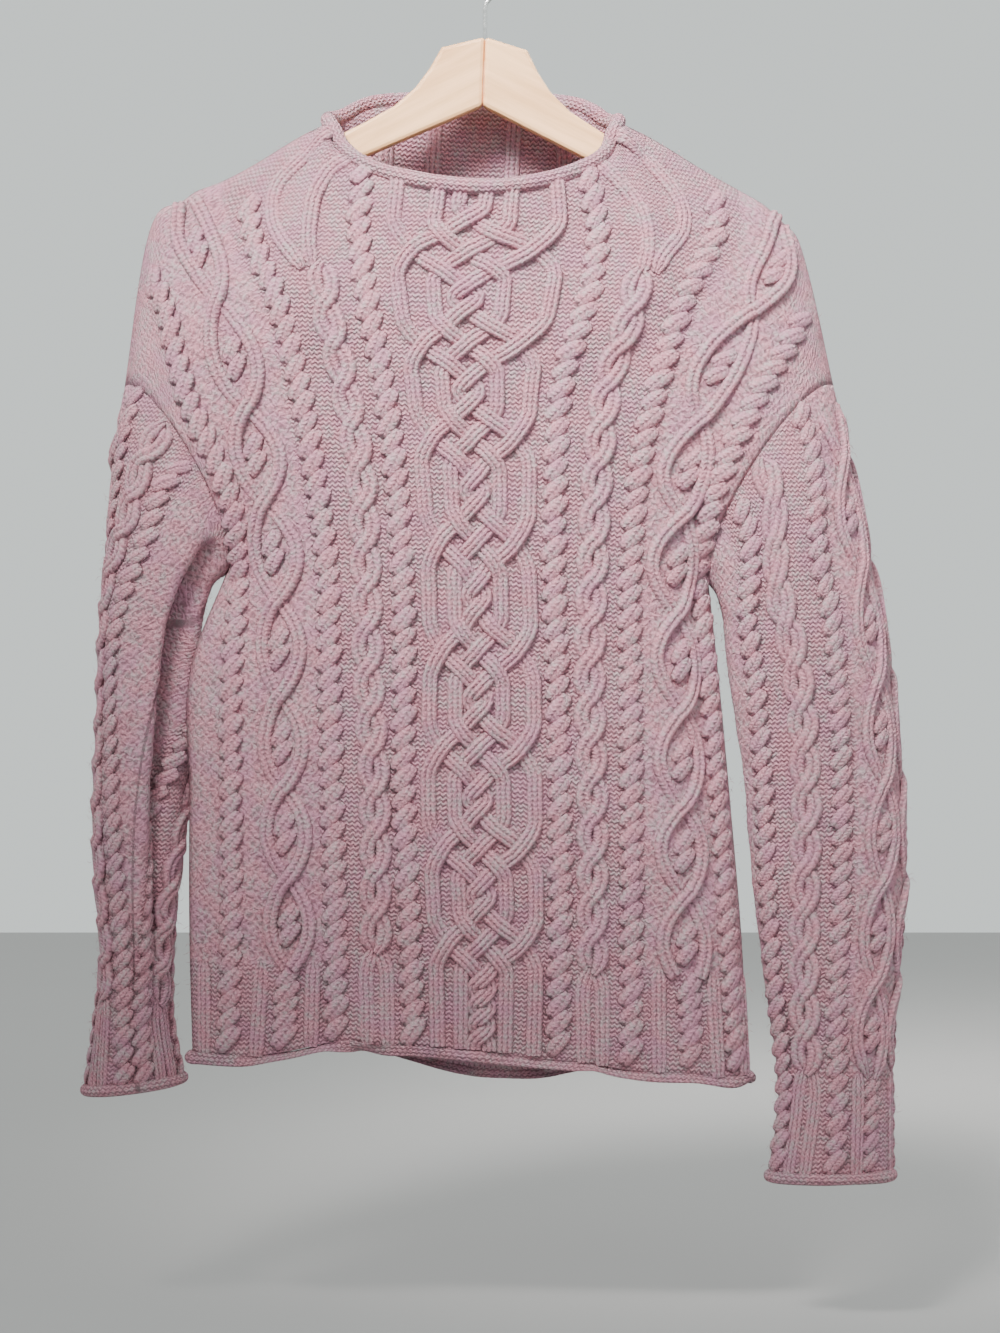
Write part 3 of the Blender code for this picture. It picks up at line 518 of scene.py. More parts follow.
def woolMaterial():
    material, shader, place, noise, between, mixed, sums, add, raised = newMaterial("heatheredWool", wool["shader"])
    stitches = add("ShaderNodeAttribute", attribute_name="stitches").outputs["Vector"]
    countAcross, countUp, kind = add("ShaderNodeSeparateXYZ", {0: stitches}).outputs  # kind: 0 purl, 1 moss, 2 knit
    mossShare = sums("SUBTRACT", 1.0, sums("ABSOLUTE", sums("SUBTRACT", kind, 1.0)), clamp=True)
    loose = sums("MULTIPLY_ADD", mossShare, wool["mossLooseness"], wool["looseness"])
    across = sums("MULTIPLY_ADD", sums("SUBTRACT", noise(place, 260.0), 0.5), loose, countAcross)
    up = sums("MULTIPLY_ADD", sums("SUBTRACT", noise(place, 190.0), 0.5), loose, countUp)
    turn = 2 * math.pi
    # rows of purl bumps, a chequer of moss bumps and the slanted legs of knit stitches
    wave = sums("MULTIPLY", sums("COSINE", sums("MULTIPLY", across, turn)), 0.2)
    purl = sums("COSINE", sums("MULTIPLY", sums("ADD", up, wave), turn))
    moss = sums("MULTIPLY", sums("COSINE", sums("MULTIPLY", across, math.pi)),
                sums("COSINE", sums("MULTIPLY", up, math.pi)))
    purl, moss = (sums("MULTIPLY_ADD", bumps, 0.5, 0.5) for bumps in (purl, moss))
    inColumn = sums("ABSOLUTE", sums("SUBTRACT", sums("FRACT", across), 0.5))
    leg = sums("COSINE", sums("MULTIPLY", sums("MULTIPLY_ADD", inColumn, -1.3, up), turn))
    ridge = sums("SUBTRACT", 1.0, sums("POWER", sums("MULTIPLY", inColumn, 2.0), 2.5))
    ridge = sums("SUBTRACT", ridge, between(inColumn, 0.0, 0.12, 0.22, 0.0))
    knit = sums("MULTIPLY_ADD", leg, 0.22, sums("MULTIPLY", ridge, 0.75))
    height = sums("MULTIPLY", purl, sums("SUBTRACT", 1.0, kind, clamp=True))
    height = sums("MULTIPLY_ADD", moss, mossShare, height)
    height = sums("MULTIPLY_ADD", knit, sums("SUBTRACT", kind, 1.0, clamp=True), height)
    fibres = noise(place, wool["fibreScale"], 4.0, 0.75)
    fill(shader, {"Normal": raised(sums("MULTIPLY_ADD", fibres, 0.75, height), 0.9, wool["stitchHeight"])})
    # heathered colour: light and dark flecks, greyer and more lilac patches
    fleck = between(noise(place, wool["fleckScale"], 3.0, 0.7), 0.36, 0.66)
    patch = between(noise(place, wool["patchScale"], 3.0, 0.6), 0.42, 0.60)
    greyer = between(noise(place, wool["greyScale"], 2.0, 0.6), 0.40, 0.60, 0.15, 0.75)
    lilac = between(noise(place, wool["lilacScale"]), 0.45, 0.62, 0.0, 0.6)
    colour = mixed(0.5, mixed(fleck, wool["deep"], wool["pale"]), wool["pink"])
    colour = mixed(lilac, colour, wool["lilac"])
    colour = mixed(sums("MULTIPLY", patch, greyer, clamp=True), colour, wool["grey"])
    # painted shade: where the stitches and fibres lie low, the colour is darkened towards the dark shade colour, as
    # if shaded
    shade = between(sums("MULTIPLY_ADD", sums("SUBTRACT", fibres, 0.5), 0.5, height), 0.0, 0.55,
                    wool["paintedShadeStrength"], 0.0)
    fill(shader, {"Base Color": mixed(shade, colour, wool["paintedShadeColour"])})
    return material


wood = {
    "pale": (1.0, 0.60, 0.31, 1.0),
    "dark": (0.66, 0.32, 0.12, 1.0),
    "grainAngle": 27.0,  # degrees that each arm's grain slopes
    "grainScale": (9.0, 60.0, 150.0),
    "poreScale": (60.0, 500.0, 1500.0),
    "poreDepth": 0.0003,  # metres
}


def woodMaterial(name, side):
    material, shader, place, noise, between, mixed, sums, add, raised = newMaterial(name, {})
    slope = (0.0, math.radians(side * wood["grainAngle"]), 0.0)
    turned = add("ShaderNodeMapping", {0: place, "Rotation": slope}, vector_type="TEXTURE").outputs[0]
    grain = noise(add("ShaderNodeMapping", {0: turned, "Scale": wood["grainScale"]}).outputs[0], 1.0, 5.0, 0.6)
    pores = noise(add("ShaderNodeMapping", {0: turned, "Scale": wood["poreScale"]}).outputs[0], 1.0, 3.0, 0.6)
    colour = mixed(0.3, mixed(between(grain, 0.36, 0.68), wood["pale"], wood["dark"]), wood["pale"])
    colour = mixed(sums("MULTIPLY", between(pores, 0.55, 0.8), 0.25), colour, wood["dark"])
    fill(shader, {"Base Color": colour, "Roughness": between(grain, 0.3, 0.7, 0.38, 0.52),
                  "Normal": raised(pores, 0.25, wood["poreDepth"])})
    return material


wire = {"Base Color": (0.74, 0.74, 0.73, 1.0), "Metallic": 1.0}


def steelMaterial():
    material, shader, place, noise, between = newMaterial("brightWire", wire)[:5]
    fill(shader, {"Roughness": between(noise(place, 300.0, 3.0), 0.3, 0.7, 0.14, 0.28)})
    return material


woolYarn = woolMaterial()
print("materials mixed")


def newObject(name, data):
    piece = bpy.data.objects.new(name, data)
    bpy.context.scene.collection.objects.link(piece)
    return piece


def newMesh(name, points, edges=(), faces=(), **values):
    # a mesh from millimetres, with named values at its points for the node trees and the wool
    data = bpy.data.meshes.new(name)
    data.from_pydata([tuple(p) for p in np.asarray(points) * mm], edges, faces)
    for label, value in values.items():
        value = np.asarray(value, np.float32)
        kind, field = ("FLOAT_VECTOR", "vector") if value.ndim > 1 else ("FLOAT", "value")
        data.attributes.new(label, kind, "POINT").data.foreach_set(field, value.ravel())
    return data


def lineEdges(count, closed=False, first=0):
    edges = [(first + i, first + i + 1) for i in range(count - 1)]
    return edges + [(first + count - 1, first)] if closed else edges


def turnOutwards(data):
    work = bmesh.new()
    work.from_mesh(data)
    bmesh.ops.recalc_face_normals(work, faces=work.faces)
    if work.calc_volume(signed=True) < 0:
        bmesh.ops.reverse_faces(work, faces=work.faces)
    work.to_mesh(data)
    work.free()


def gridFaces(grid):
    corners = (grid[:-1, :-1], grid[:-1, 1:], grid[1:, 1:], grid[1:, :-1])
    return np.stack(corners, axis=2).reshape(-1, 4)


def fanStrip(fine, coarse, picked):
    # triangles between a finely and a coarsely divided edge
    faces = []
    for i in range(len(picked) - 1):
        start, end = picked[i], picked[i + 1]
        half = (start + end + 1) // 2
        for j in range(start, end):
            faces.append((fine[j], fine[j + 1], coarse[i] if j < half else coarse[i + 1]))
        faces.append((coarse[i + 1], coarse[i], fine[half]))
    return faces


def clothShell(name, cloth, kinds, insideKinds):
    # the knitted wall: uneven outside, every second point kept inside
    points, normals, closed = cloth["points"], cloth["normals"], cloth["closed"]
    rows, columns = points.shape[:2]
    grain = np.random.default_rng(clothSizes["grainSeed"]).normal(size=(rows, columns))
    moss = np.clip(1.0 - np.abs(kinds - 1.0), 0, 1)
    relief = grain * (clothSizes["purlGrain"] + (clothSizes["mossGrain"] - clothSizes["purlGrain"]) * moss)
    edge = np.ones((rows, columns)) * easeBetween(fromEnds(rows) / 3.0)[:, None]
    if not closed:
        edge *= easeBetween(fromEnds(columns) / 3.0)[None, :]
    outer = points + normals * ((relief + softWaves(points)) * edge)[:, :, None]
    pickedRows = list(range(0, rows, 2))
    pickedColumns = list(range(0, columns, 2))
    inner = (points - normals * body["wall"])[::2, ::2]
    out = np.arange(rows * columns).reshape(rows, columns)
    ins = rows * columns + np.arange(inner.shape[0] * inner.shape[1]).reshape(inner.shape[:2])
    if closed:
        out, ins = (np.concatenate([grid, grid[:, :1]], axis=1) for grid in (out, ins))
        pickedColumns.append(columns)
    faces = gridFaces(out).tolist()
    faces += np.stack([ins[:-1, :-1], ins[1:, :-1], ins[1:, 1:], ins[:-1, 1:]], axis=2).reshape(-1, 4).tolist()
    smooth = [True] * len(faces)
    out, ins = out.tolist(), ins.tolist()
    faces += fanStrip(out[0], ins[0], pickedColumns)
    faces += [face[::-1] for face in fanStrip(out[-1], ins[-1], pickedColumns)]
    if not closed:
        faces += [face[::-1] for face in fanStrip([r[0] for r in out], [r[0] for r in ins], pickedRows)]
        faces += fanStrip([r[-1] for r in out], [r[-1] for r in ins], pickedRows)
    counts = np.stack([cloth["stitchAcross"], cloth["stitchUp"], kinds], axis=2)
    inside = counts[::2, ::2].copy()
    inside[:, :, 2] = insideKinds[::2, ::2]
    stitches = np.concatenate([counts.reshape(-1, 3), inside.reshape(-1, 3)])
    places = np.concatenate([outer.reshape(-1, 3), inner.reshape(-1, 3)])
    data = newMesh(name, places, faces=faces, stitches=stitches)
    data.polygons.foreach_set("use_smooth", smooth + [False] * (len(faces) - len(smooth)))
    turnOutwards(data)
    data.materials.append(woolYarn)
    return newObject(name, data)


def nodeTree(name, sockets):
    # a node tree with named inputs: how to add to it, its inputs, how to read the mesh's
    # named values, and how to end it
    tree = bpy.data.node_groups.new(name, "GeometryNodeTree")
    for label, kind in {"Geometry": "Geometry", **sockets}.items():
        tree.interface.new_socket(label, in_out="INPUT", socket_type="NodeSocket" + kind)
    tree.interface.new_socket("Geometry", in_out="OUTPUT", socket_type="NodeSocketGeometry")
    add = nodeMaker(tree)
    given, end = add("NodeGroupInput").outputs, add("NodeGroupOutput")

    def read(label, kind="FLOAT"):
        return add("GeometryNodeInputNamedAttribute", {"Name": label}, data_type=kind).outputs["Attribute"]

    def finish(made):
        solid = add("GeometryNodeRealizeInstances", {0: made.outputs[0]})
        coat = add("GeometryNodeSetMaterial", {"Geometry": solid.outputs[0], "Material": given["Yarn"]})
        fill(end, {0: coat.outputs[0]})
        return tree
    return add, given, read, finish


def yarnTree():
    # sweeps a cross-section along each line, its flat side against the cloth
    add, given, read, finish = nodeTree("layStrandsOnCloth", {"Cross-section": "Object", "Yarn": "Material"})
    line = add("GeometryNodeMeshToCurve", {"Mesh": given["Geometry"]})
    stand = add("GeometryNodeSetCurveNormal", {"Curve": line.outputs[0],
                "Normal": read("outwards", "FLOAT_VECTOR")}, mode="FREE")
    section = add("GeometryNodeObjectInfo", {"Object": given["Cross-section"]})
    outline = add("GeometryNodeMeshToCurve", {"Mesh": section.outputs["Geometry"]})
    sweep = add("GeometryNodeCurveToMesh", {"Curve": stand.outputs[0], "Profile Curve": outline.outputs[0],
                                            "Scale": read("fullness"), "Fill Caps": True})
    counts = add("ShaderNodeCombineXYZ", {0: read("sidewards"), 1: read("lengthways"), 2: read("kind")})
    return finish(add("GeometryNodeStoreNamedAttribute", {
        "Geometry": sweep.outputs[0], "Name": "stitches", "Value": counts.outputs[0],
    }, data_type="FLOAT_VECTOR", domain="POINT"))


def scatterTree():
    # one copy of a small piece at each point, turned to lie along it
    add, given, read, finish = nodeTree("setOnPoints", {"Piece": "Object", "Yarn": "Material"})
    part = add("GeometryNodeObjectInfo", {"Object": given["Piece"]})
    turn = add("FunctionNodeAxesToRotation", {
        "Primary Axis": read("outwards", "FLOAT_VECTOR"), "Secondary Axis": read("lengthwise", "FLOAT_VECTOR"),
    }, primary_axis="Z", secondary_axis="Y")
    return finish(add("GeometryNodeInstanceOnPoints", {
        "Points": given["Geometry"], "Instance": part.outputs["Geometry"], "Rotation": turn.outputs[0],
        "Scale": read("fullness")}))


layStrands, setOnPoints = yarnTree(), scatterTree()


def grown(name, data, tree, inputs):
    # runs a node tree on a mesh and keeps the plain result
    seed = newObject(name + "_seed", data)
    modifier = seed.modifiers.new("nodes", "NODES")
    modifier.node_group = tree
    for item in tree.interface.items_tree:
        if item.in_out == "INPUT" and item.name in inputs:
            modifier[item.identifier] = inputs[item.name]
    bpy.context.view_layer.update()
    depsgraph = bpy.context.evaluated_depsgraph_get()
    made = bpy.data.meshes.new_from_object(seed.evaluated_get(depsgraph))
    bpy.data.objects.remove(seed)
    made.name = name
    turnOutwards(made)
    made.polygons.foreach_set("use_smooth", [True] * len(made.polygons))
    return newObject(name, made)


def crossSection(name, width, height, lobes, points=13, sink=1.2):
    # a low arch with one ridge for each column of stitches, its flat foot sunk in the cloth
    side = np.cos(np.pi * (1.0 - np.linspace(0.0, 1.0, points)))
    arch = np.sqrt(np.clip(1.0 - side**2, 0, 1)) ** 0.72
    groove = (0.5 + 0.5 * np.cos(2 * np.pi * lobes * (side * 0.5 + 0.5))) ** 1.5
    rise = height * arch * (1.0 - pattern["grooveDepth"] * groove) if lobes > 1 else height * arch
    outline = [(h, s * width / 2, 0.0) for h, s in zip(rise, side)]
    outline += [(-sink, width * 0.34, 0.0), (-sink, -width * 0.34, 0.0)]
    sidewards = list((side * 0.5 + 0.5) * lobes) + [lobes * 0.9, lobes * 0.1]
    return newObject(name, newMesh(name, outline, lineEdges(len(outline), True), sidewards=sidewards))


def roundSection(name, radius, points=18):
    angle = np.linspace(0, 2 * np.pi, points, endpoint=False)
    outline = np.stack([np.cos(angle), np.sin(angle), 0 * angle], axis=1) * radius
    around = np.minimum(angle, 2 * np.pi - angle) * radius / body["stitchHigh"]
    return newObject(name, newMesh(name, outline, lineEdges(points, True), lengthways=around))


def strands(name, lines, section, kind=2.0, counted="lengthways", stitch="stitchHigh"):
    # each line is a dictionary of points, normals, fullness and whether it is closed
    places, edges, outwards, fullness, counts = [], [], [], [], []
    for line in lines:
        points, first = line["points"], len(places)
        places.extend(points)
        outwards.extend(line["normals"])
        fullness.extend(line["fullness"])
        counts.extend(walked(points) / body[stitch] + 7.3 * len(edges))
        edges += lineEdges(len(points), line.get("closed"), first)
    data = newMesh(name, places, edges, outwards=outwards, fullness=fullness,
                   **{counted: counts, "kind": np.full(len(places), kind)})
    return grown(name, data, layStrands, {"Cross-section": section, "Yarn": woolYarn})


def twistPiece(name, length, width, height, lean, rings=8, around=8):
    # one turn of a rope: a fat spindle that leans to the right and dives in at both ends
    places, stitches = [], []
    for t in np.linspace(-1.0, 1.0, rings + 2)[1:-1]:
        bend = 0.65 * t + 0.35 * math.sin(math.pi * t / 2)
        centre = np.array([bend * length * math.sin(lean) * 0.5, t * length * math.cos(lean) * 0.5,
                           height * (0.38 - 0.46 * t * t)])
        radius = width * 0.5 * (1.0 - abs(t) ** 3.0) ** 0.5
        sideways = np.array([math.cos(lean), -math.sin(lean), 0.0])
        for k in range(around):
            a = 2 * math.pi * k / around
            places.append(centre + sideways * radius * math.cos(a)
                          + np.array([0, 0, 1.0]) * height * 0.60 * math.sin(a) * (radius / (width * 0.5)))
            stitches.append((1.0 + math.cos(a), t * length * 0.5 / body["stitchHigh"], 2.0))
    grid = np.arange(rings * around).reshape(rings, around)
    faces = gridFaces(np.concatenate([grid, grid[:, :1]], axis=1)).tolist()
    faces += [grid[0, ::-1].tolist(), grid[-1].tolist()]
    return newObject(name, newMesh(name, places, faces=faces, stitches=stitches))


def setTwists(name, spots, piece):
    # spots are (points, normals, directions along the rope, sizes)
    points, outwards, lengthwise, sizes = (np.concatenate(part) for part in zip(*spots))
    data = newMesh(name, points, outwards=outwards, lengthwise=lengthwise, fullness=sizes)
    return grown(name, data, setOnPoints, {"Piece": piece, "Yarn": woolYarn})


pattern = {
    "overLift": 2.1,
    "underLift": -1.6,
    "diamondUnderLift": -2.4,
    "plaitHeight": 4.0,
    "plaitWidth": 11.0,
    "plaitPlaces": (-32.3, -16.3, -7.9, 2.9, 13.4, 32.8),
    "plaitReach": (0.30, 0.155, 0.15, 0.155, 0.30),
    "plaitClusters": (0.130, 0.240, 0.355, 0.470, 0.595, 0.715, 0.823, 0.930),
    "crossShare": 0.175,      # of a repeat, between the rows of crossings
    "eyeShare": 0.12,         # from the middle of an eye to its twists
    "eyeReach": 0.13,
    "tailStart": 0.38,        # below the first cluster, where the middle strands twist on
    "tailStep": 0.20,
    "tailReach": 0.12,
    "topGap": 0.012,          # without crossings under the neck
    "liftLimits": (-2.2, 2.6),
    "waveRoundness": 0.85,    # of two strands that swing to and fro
    "crossingWidth": 0.62,
    "sunk": 0.3,              # how deep ribs and ropes are set in the cloth
    "chainWidth": 11.0,
    "chainHeight": 4.0,
    "chainSpread": 6.0,
    "chainPitch": 26.8,       # millimetres between crossings
    "chains": ((-73, 0.118, 0.912), (73, 0.100, 0.905)),
    "diamondWidth": 10.2,
    "diamondHeight": 4.3,
    "diamondSpread": 14.5,
    "diamondWale": 136.0,
    "diamondReach": (0.100, 0.994),
    "lensSize": 0.92,         # of the rope turns in the diamonds' eyes
    "lensPitch": 11.6,
    "ropePitch": 13.0,
    "ropeLength": 25.5,
    "ropeWidth": 11.6,
    "ropeHeight": 4.1,
    "ropeLean": 0.58,
    "ropes": ((-49, 0.020, 0.996), (49, 0.020, 0.992), (-101, 0.020, 0.968),
              (101, 0.020, 0.972), (-175, 0.020, 0.932), (175, 0.020, 0.915)),
    "weltRope": (137.0, 0.020, 0.088),
    "ribWidth": 11.0,
    "ribHeight": 2.6,
    "ribs": ((66, 5), (80, -5), (118, 0), (157, 0), (186, 0)),  # wale, and how far its top bends
    "weltTop": 0.106,
    "weltRise": 0.014,        # how much higher the left ribs beside a chain end
    "weltEnds": (0.8, 0.6),   # fullness of these ribs at both ends
    "yokeEnds": (0.5, 0.9),
    "plaitEnds": (0.004, 1.0),
    "grooveDepth": 0.36,
    "mossWale": 108.0,        # moss stitch from here to the side
    "mossShare": 0.10,        # and from here up
}
diamondEyes = {  # shares of the diamonds' eyes on each side of the front
    "left": (0.150, 0.258, 0.362, 0.472, 0.583, 0.693, 0.807, 0.942),
    "right": (0.135, 0.243, 0.350, 0.465, 0.577, 0.680, 0.805, 0.938),
}


def lineOn(cloth, across, up, lift=0.0, inside=False, spacing=None):
    # a strand's line at even steps along the cloth
    across, up = np.broadcast_arrays(np.asarray(across, float), np.asarray(up, float))
    lift = np.broadcast_to(np.asarray(lift, float), across.shape)
    total = walked(onCloth(cloth, across, up)[0])
    count = max(int(total[-1] / (spacing or cloth["strandStep"])), 4)
    at = np.linspace(0.0, total[-1], count + 1)
    across, up, lift = (np.interp(at, total, values) for values in (across, up, lift))
    points, normals = onCloth(cloth, across, up)
    if inside:
        points, normals = points - normals * body["wall"], -normals
    return {"points": points + normals * lift[:, None], "normals": normals, "fullness": np.ones(count + 1)}


def tapered(lines, rings, low):
    # lines that grow thinner over the last rings at both ends
    for line in lines:
        ends = fromEnds(len(line["points"]))
        line["fullness"] = low + (1.0 - low) * easeBetween(ends / rings)
    return lines


def plaitLines(cloth, clusters, low, high):
    # six strands that cross in three rows at each cluster and twist between them
    clusters = np.asarray(clusters, float)
    gaps = np.gradient(clusters)
    crossings = []  # share, pair, +1 where the strand that leans right goes over, reach
    for middle, gap in zip(clusters, gaps):
        row = gap * pattern["crossShare"]
        for offset, pairs, over in ((-row, (1, 3), -1), (0.0, (0, 2, 4), 1), (row, (1, 3), -1)):
            crossings += [(middle + offset, pair, over, gap * pattern["plaitReach"][pair]) for pair in pairs]
    eyes = np.append((clusters[1:] + clusters[:-1]) / 2, clusters[-1] + gaps[-1] * 0.5)
    for middle, gap in zip(eyes, gaps):
        for side in (-1, 1):
            crossings.append((middle + side * gap * pattern["eyeShare"], 2, 1, gap * pattern["eyeReach"]))
    below = clusters[0] - gaps[0] * pattern["tailStart"]
    while below > low + 0.01:
        crossings.append((below, 2, 1, gaps[0] * pattern["tailReach"]))
        below -= gaps[0] * pattern["tailStep"]
    crossings = sorted(c for c in crossings if c[0] < high - pattern["topGap"])
    fine = np.linspace(low, high, 1400)
    places = pattern["plaitPlaces"]
    order = list(range(len(places)))
    across = np.array([np.full(len(fine), place) for place in places])
    lift = np.zeros_like(across)
    for share, pair, over, reach in crossings:
        first, second = order[pair], order[pair + 1]  # the first leans right on its way up
        t = (fine - share) / reach
        step = (places[pair + 1] - places[pair]) * easeBetween(t * 0.5 + 0.5)
        across[first] += step
        across[second] -= step
        bump = np.clip(1.0 - t * t, 0.0, 1.0) ** 1.5
        up, down = pattern["overLift"] * bump, pattern["underLift"] * bump
        lift[first] += up if over > 0 else down
        lift[second] += down if over > 0 else up
        order[pair], order[pair + 1] = second, first
    lift = np.clip(lift, *pattern["liftLimits"])
    return [lineOn(cloth, across[k], fine, lift[k]) for k in range(len(places))]


def twoStrands(cloth, centre, up, spread, phase, underLift=pattern["underLift"]):
    # two strands that cross each half turn of phase, the one that leans right on top
    wave = np.sign(np.sin(phase)) * np.abs(np.sin(phase)) ** pattern["waveRoundness"]
    near = np.exp(-(wave / pattern["crossingWidth"]) ** 2)
    return [lineOn(cloth, centre + sign * spread * wave, up,
                   np.where(sign * np.cos(phase) > 0, pattern["overLift"], underLift) * near)
            for sign in (1.0, -1.0)]


def ropeSpots(cloth, across, up, size=1.0, pitch=pattern["ropePitch"]):
    line = lineOn(cloth, across, up, spacing=pitch)
    points, normals = line["points"], line["normals"]
    along = unit(np.gradient(points, axis=0))
    sizes = size * (1.0 + 0.05 * np.sin(np.arange(len(points)) * 2.4 + across[0]))
    return points - normals * pattern["sunk"], normals, along, sizes


def straightRopes(cloth, places):
    # (wale, share where it starts, where it ends)
    steps = 300
    return [ropeSpots(cloth, np.full(steps, float(wale)), np.linspace(low, high, steps))
            for wale, low, high in places]


def lensesInEyes(cloth, wale, eyes, size=pattern["lensSize"], pitch=pattern["lensPitch"]):
    # two short turns of rope in each eye
    spots = []
    wales, ends = np.full(2, float(wale)), np.array([-1.0, 1.0])
    for eye in eyes:
        place, _ = onCloth(cloth, wales, eye + ends * 0.02)
        perMm = 0.04 / np.linalg.norm(place[1] - place[0])
        up = np.clip(eye + ends / 2 * pitch * perMm, 0.0, 0.995)
        below, above = (onCloth(cloth, wales, up + d)[0] for d in (-0.003, 0.003))
        spots.append((*onCloth(cloth, wales, up), unit(above - below), np.full(2, size)))
    return spots


def eyePhase(eyes, up):
    # counts half turns so that the strands stand widest apart at each eye
    eyes = np.asarray(eyes, float)
    marks = (np.arange(len(eyes)) + 0.5) * math.pi
    first, last = eyes[1] - eyes[0], eyes[-1] - eyes[-2]
    eyes = np.concatenate([[eyes[0] - first], eyes, [eyes[-1] + last]])
    marks = np.concatenate([[marks[0] - math.pi], marks, [marks[-1] + math.pi]])
    return softCurve(eyes, marks, up)


def unitsPerMm(cloth, across, up):
    # how many wales, or columns of a sleeve, one millimetre across the cloth is
    a, _ = onCloth(cloth, across - 0.4, up)
    b, _ = onCloth(cloth, across + 0.4, up)
    return 0.8 / np.linalg.norm(b - a, axis=-1)


sections = {
    "plait": crossSection("plaitSection", pattern["plaitWidth"], pattern["plaitHeight"], 3, 19),
    "chain": crossSection("chainSection", pattern["chainWidth"], pattern["chainHeight"], 2),
    "diamond": crossSection("diamondSection", pattern["diamondWidth"], pattern["diamondHeight"], 2),
    "rib": crossSection("ribSection", pattern["ribWidth"], pattern["ribHeight"], 3, 19),
    "sleeveDiamond": crossSection("sleeveDiamondSection", width=8.6, height=3.8, lobes=2),
    "sleeveRib": crossSection("sleeveRibSection", width=9.4, height=2.3, lobes=3, points=19),
    "insideRib": crossSection("insideRibSection", width=11.0, height=3.4, lobes=3, points=19),
}
ropeTwist = twistPiece("ropeTwist", pattern["ropeLength"], pattern["ropeWidth"],
                       pattern["ropeHeight"], pattern["ropeLean"])


def chainLines(cloth, wale, low, high, mirror, spread, pitch):
    # a chain along one wale, or along a track of shares and columns
    up = np.linspace(low, high, 500)
    centre = np.interp(up, *wale) if isinstance(wale, tuple) else wale + 0 * up
    far = walked(onCloth(cloth, centre, up)[0])
    turns = max(round(far[-1] / pitch), 1)
    wide = spread * unitsPerMm(cloth, centre, up)
    lines = twoStrands(cloth, centre, up, mirror * wide, far / far[-1] * turns * math.pi)
    return tapered(lines, 4, 0.45)


def ribLine(cloth, path, low, high, inside=False):
    # a rib through (wale, share) pairs, thinner at its ends
    fine, marks = np.linspace(0, 1, 60), np.linspace(0, 1, len(path))
    across, up = (softCurve(marks, values, fine) for values in np.array(path, float).T)
    line = lineOn(cloth, across, up, -pattern["sunk"], inside=inside)
    start = np.arange(len(line["points"]))
    line["fullness"] = np.minimum(low + (1.0 - low) * easeBetween(start / 3.0),
                                  high + (1.0 - high) * easeBetween(start[::-1] / 3.0))
    return line


yokeRibs = {  # the three-line ribs that open in a Y above each chain, (wale, share) pairs
    "left": (
        ((-79, 0.905), (-81, 0.93), (-81.5, 0.95), (-81, 0.965), (-74, 0.984), (-62, 1.0)),
        ((-85, 0.900), (-92, 0.93), (-95, 0.955), (-94.5, 0.975), (-89, 0.985), (-80, 1.0)),
    ),
    "right": (
        ((74, 0.90), (77, 0.925), (77, 0.945), (75, 0.960), (70, 0.978), (61, 1.0)),
        ((84, 0.895), (92, 0.925), (94, 0.945), (93, 0.965), (88, 0.982), (79, 1.0)),
    ),
}


def panelPieces(side):
    cloth, mirror = clothOf[side], (1.0 if side == "front" else -1.0)
    mirrored = {**cloth, "points": cloth["points"][:, ::-1], "normals": cloth["normals"][:, ::-1],
                "across": -cloth["across"][::-1]}
    plait = plaitLines(cloth if side == "front" else mirrored, pattern["plaitClusters"], *pattern["plaitEnds"])
    chains, diamonds, spots, ribs = [], [], [], []
    for wale, start, end in pattern["chains"]:
        chains += chainLines(cloth, wale, start, end, mirror, pattern["chainSpread"], pattern["chainPitch"])
    for sign, name in ((-1, "left"), (1, "right")):
        eyes, top = diamondEyes[name], pattern["weltTop"]
        up = np.linspace(*pattern["diamondReach"], 700)
        wale = np.full(len(up), sign * pattern["diamondWale"])
        wide = pattern["diamondSpread"] * unitsPerMm(cloth, wale, up)
        diamonds += twoStrands(cloth, wale, up, mirror * wide, eyePhase(eyes, up), pattern["diamondUnderLift"])
        spots += lensesInEyes(cloth, wale[0], eyes)
        weltWale, *weltReach = pattern["weltRope"]
        spots += straightRopes(cloth, ((sign * weltWale, *weltReach),))
        ribs += [ribLine(cloth, path, *pattern["yokeEnds"]) for path in yokeRibs[name]]
        for wale, bend in pattern["ribs"]:
            tip = top + (pattern["weltRise"] if bend and name == "left" else 0.0)
            ribs.append(ribLine(cloth, ((sign * wale, 0.0), (sign * wale, 0.04), (sign * wale, tip - 0.025),
                                        (sign * (wale + bend), tip)), *pattern["weltEnds"]))
    spots += straightRopes(cloth, pattern["ropes"])
    return [strands(side + "_plait", plait, sections["plait"]),
            strands(side + "_chains", chains, sections["chain"]),
            strands(side + "_diamonds", diamonds, sections["diamond"]),
            setTwists(side + "_ropes", spots, ropeTwist),
            strands(side + "_ribs", ribs, sections["rib"])]


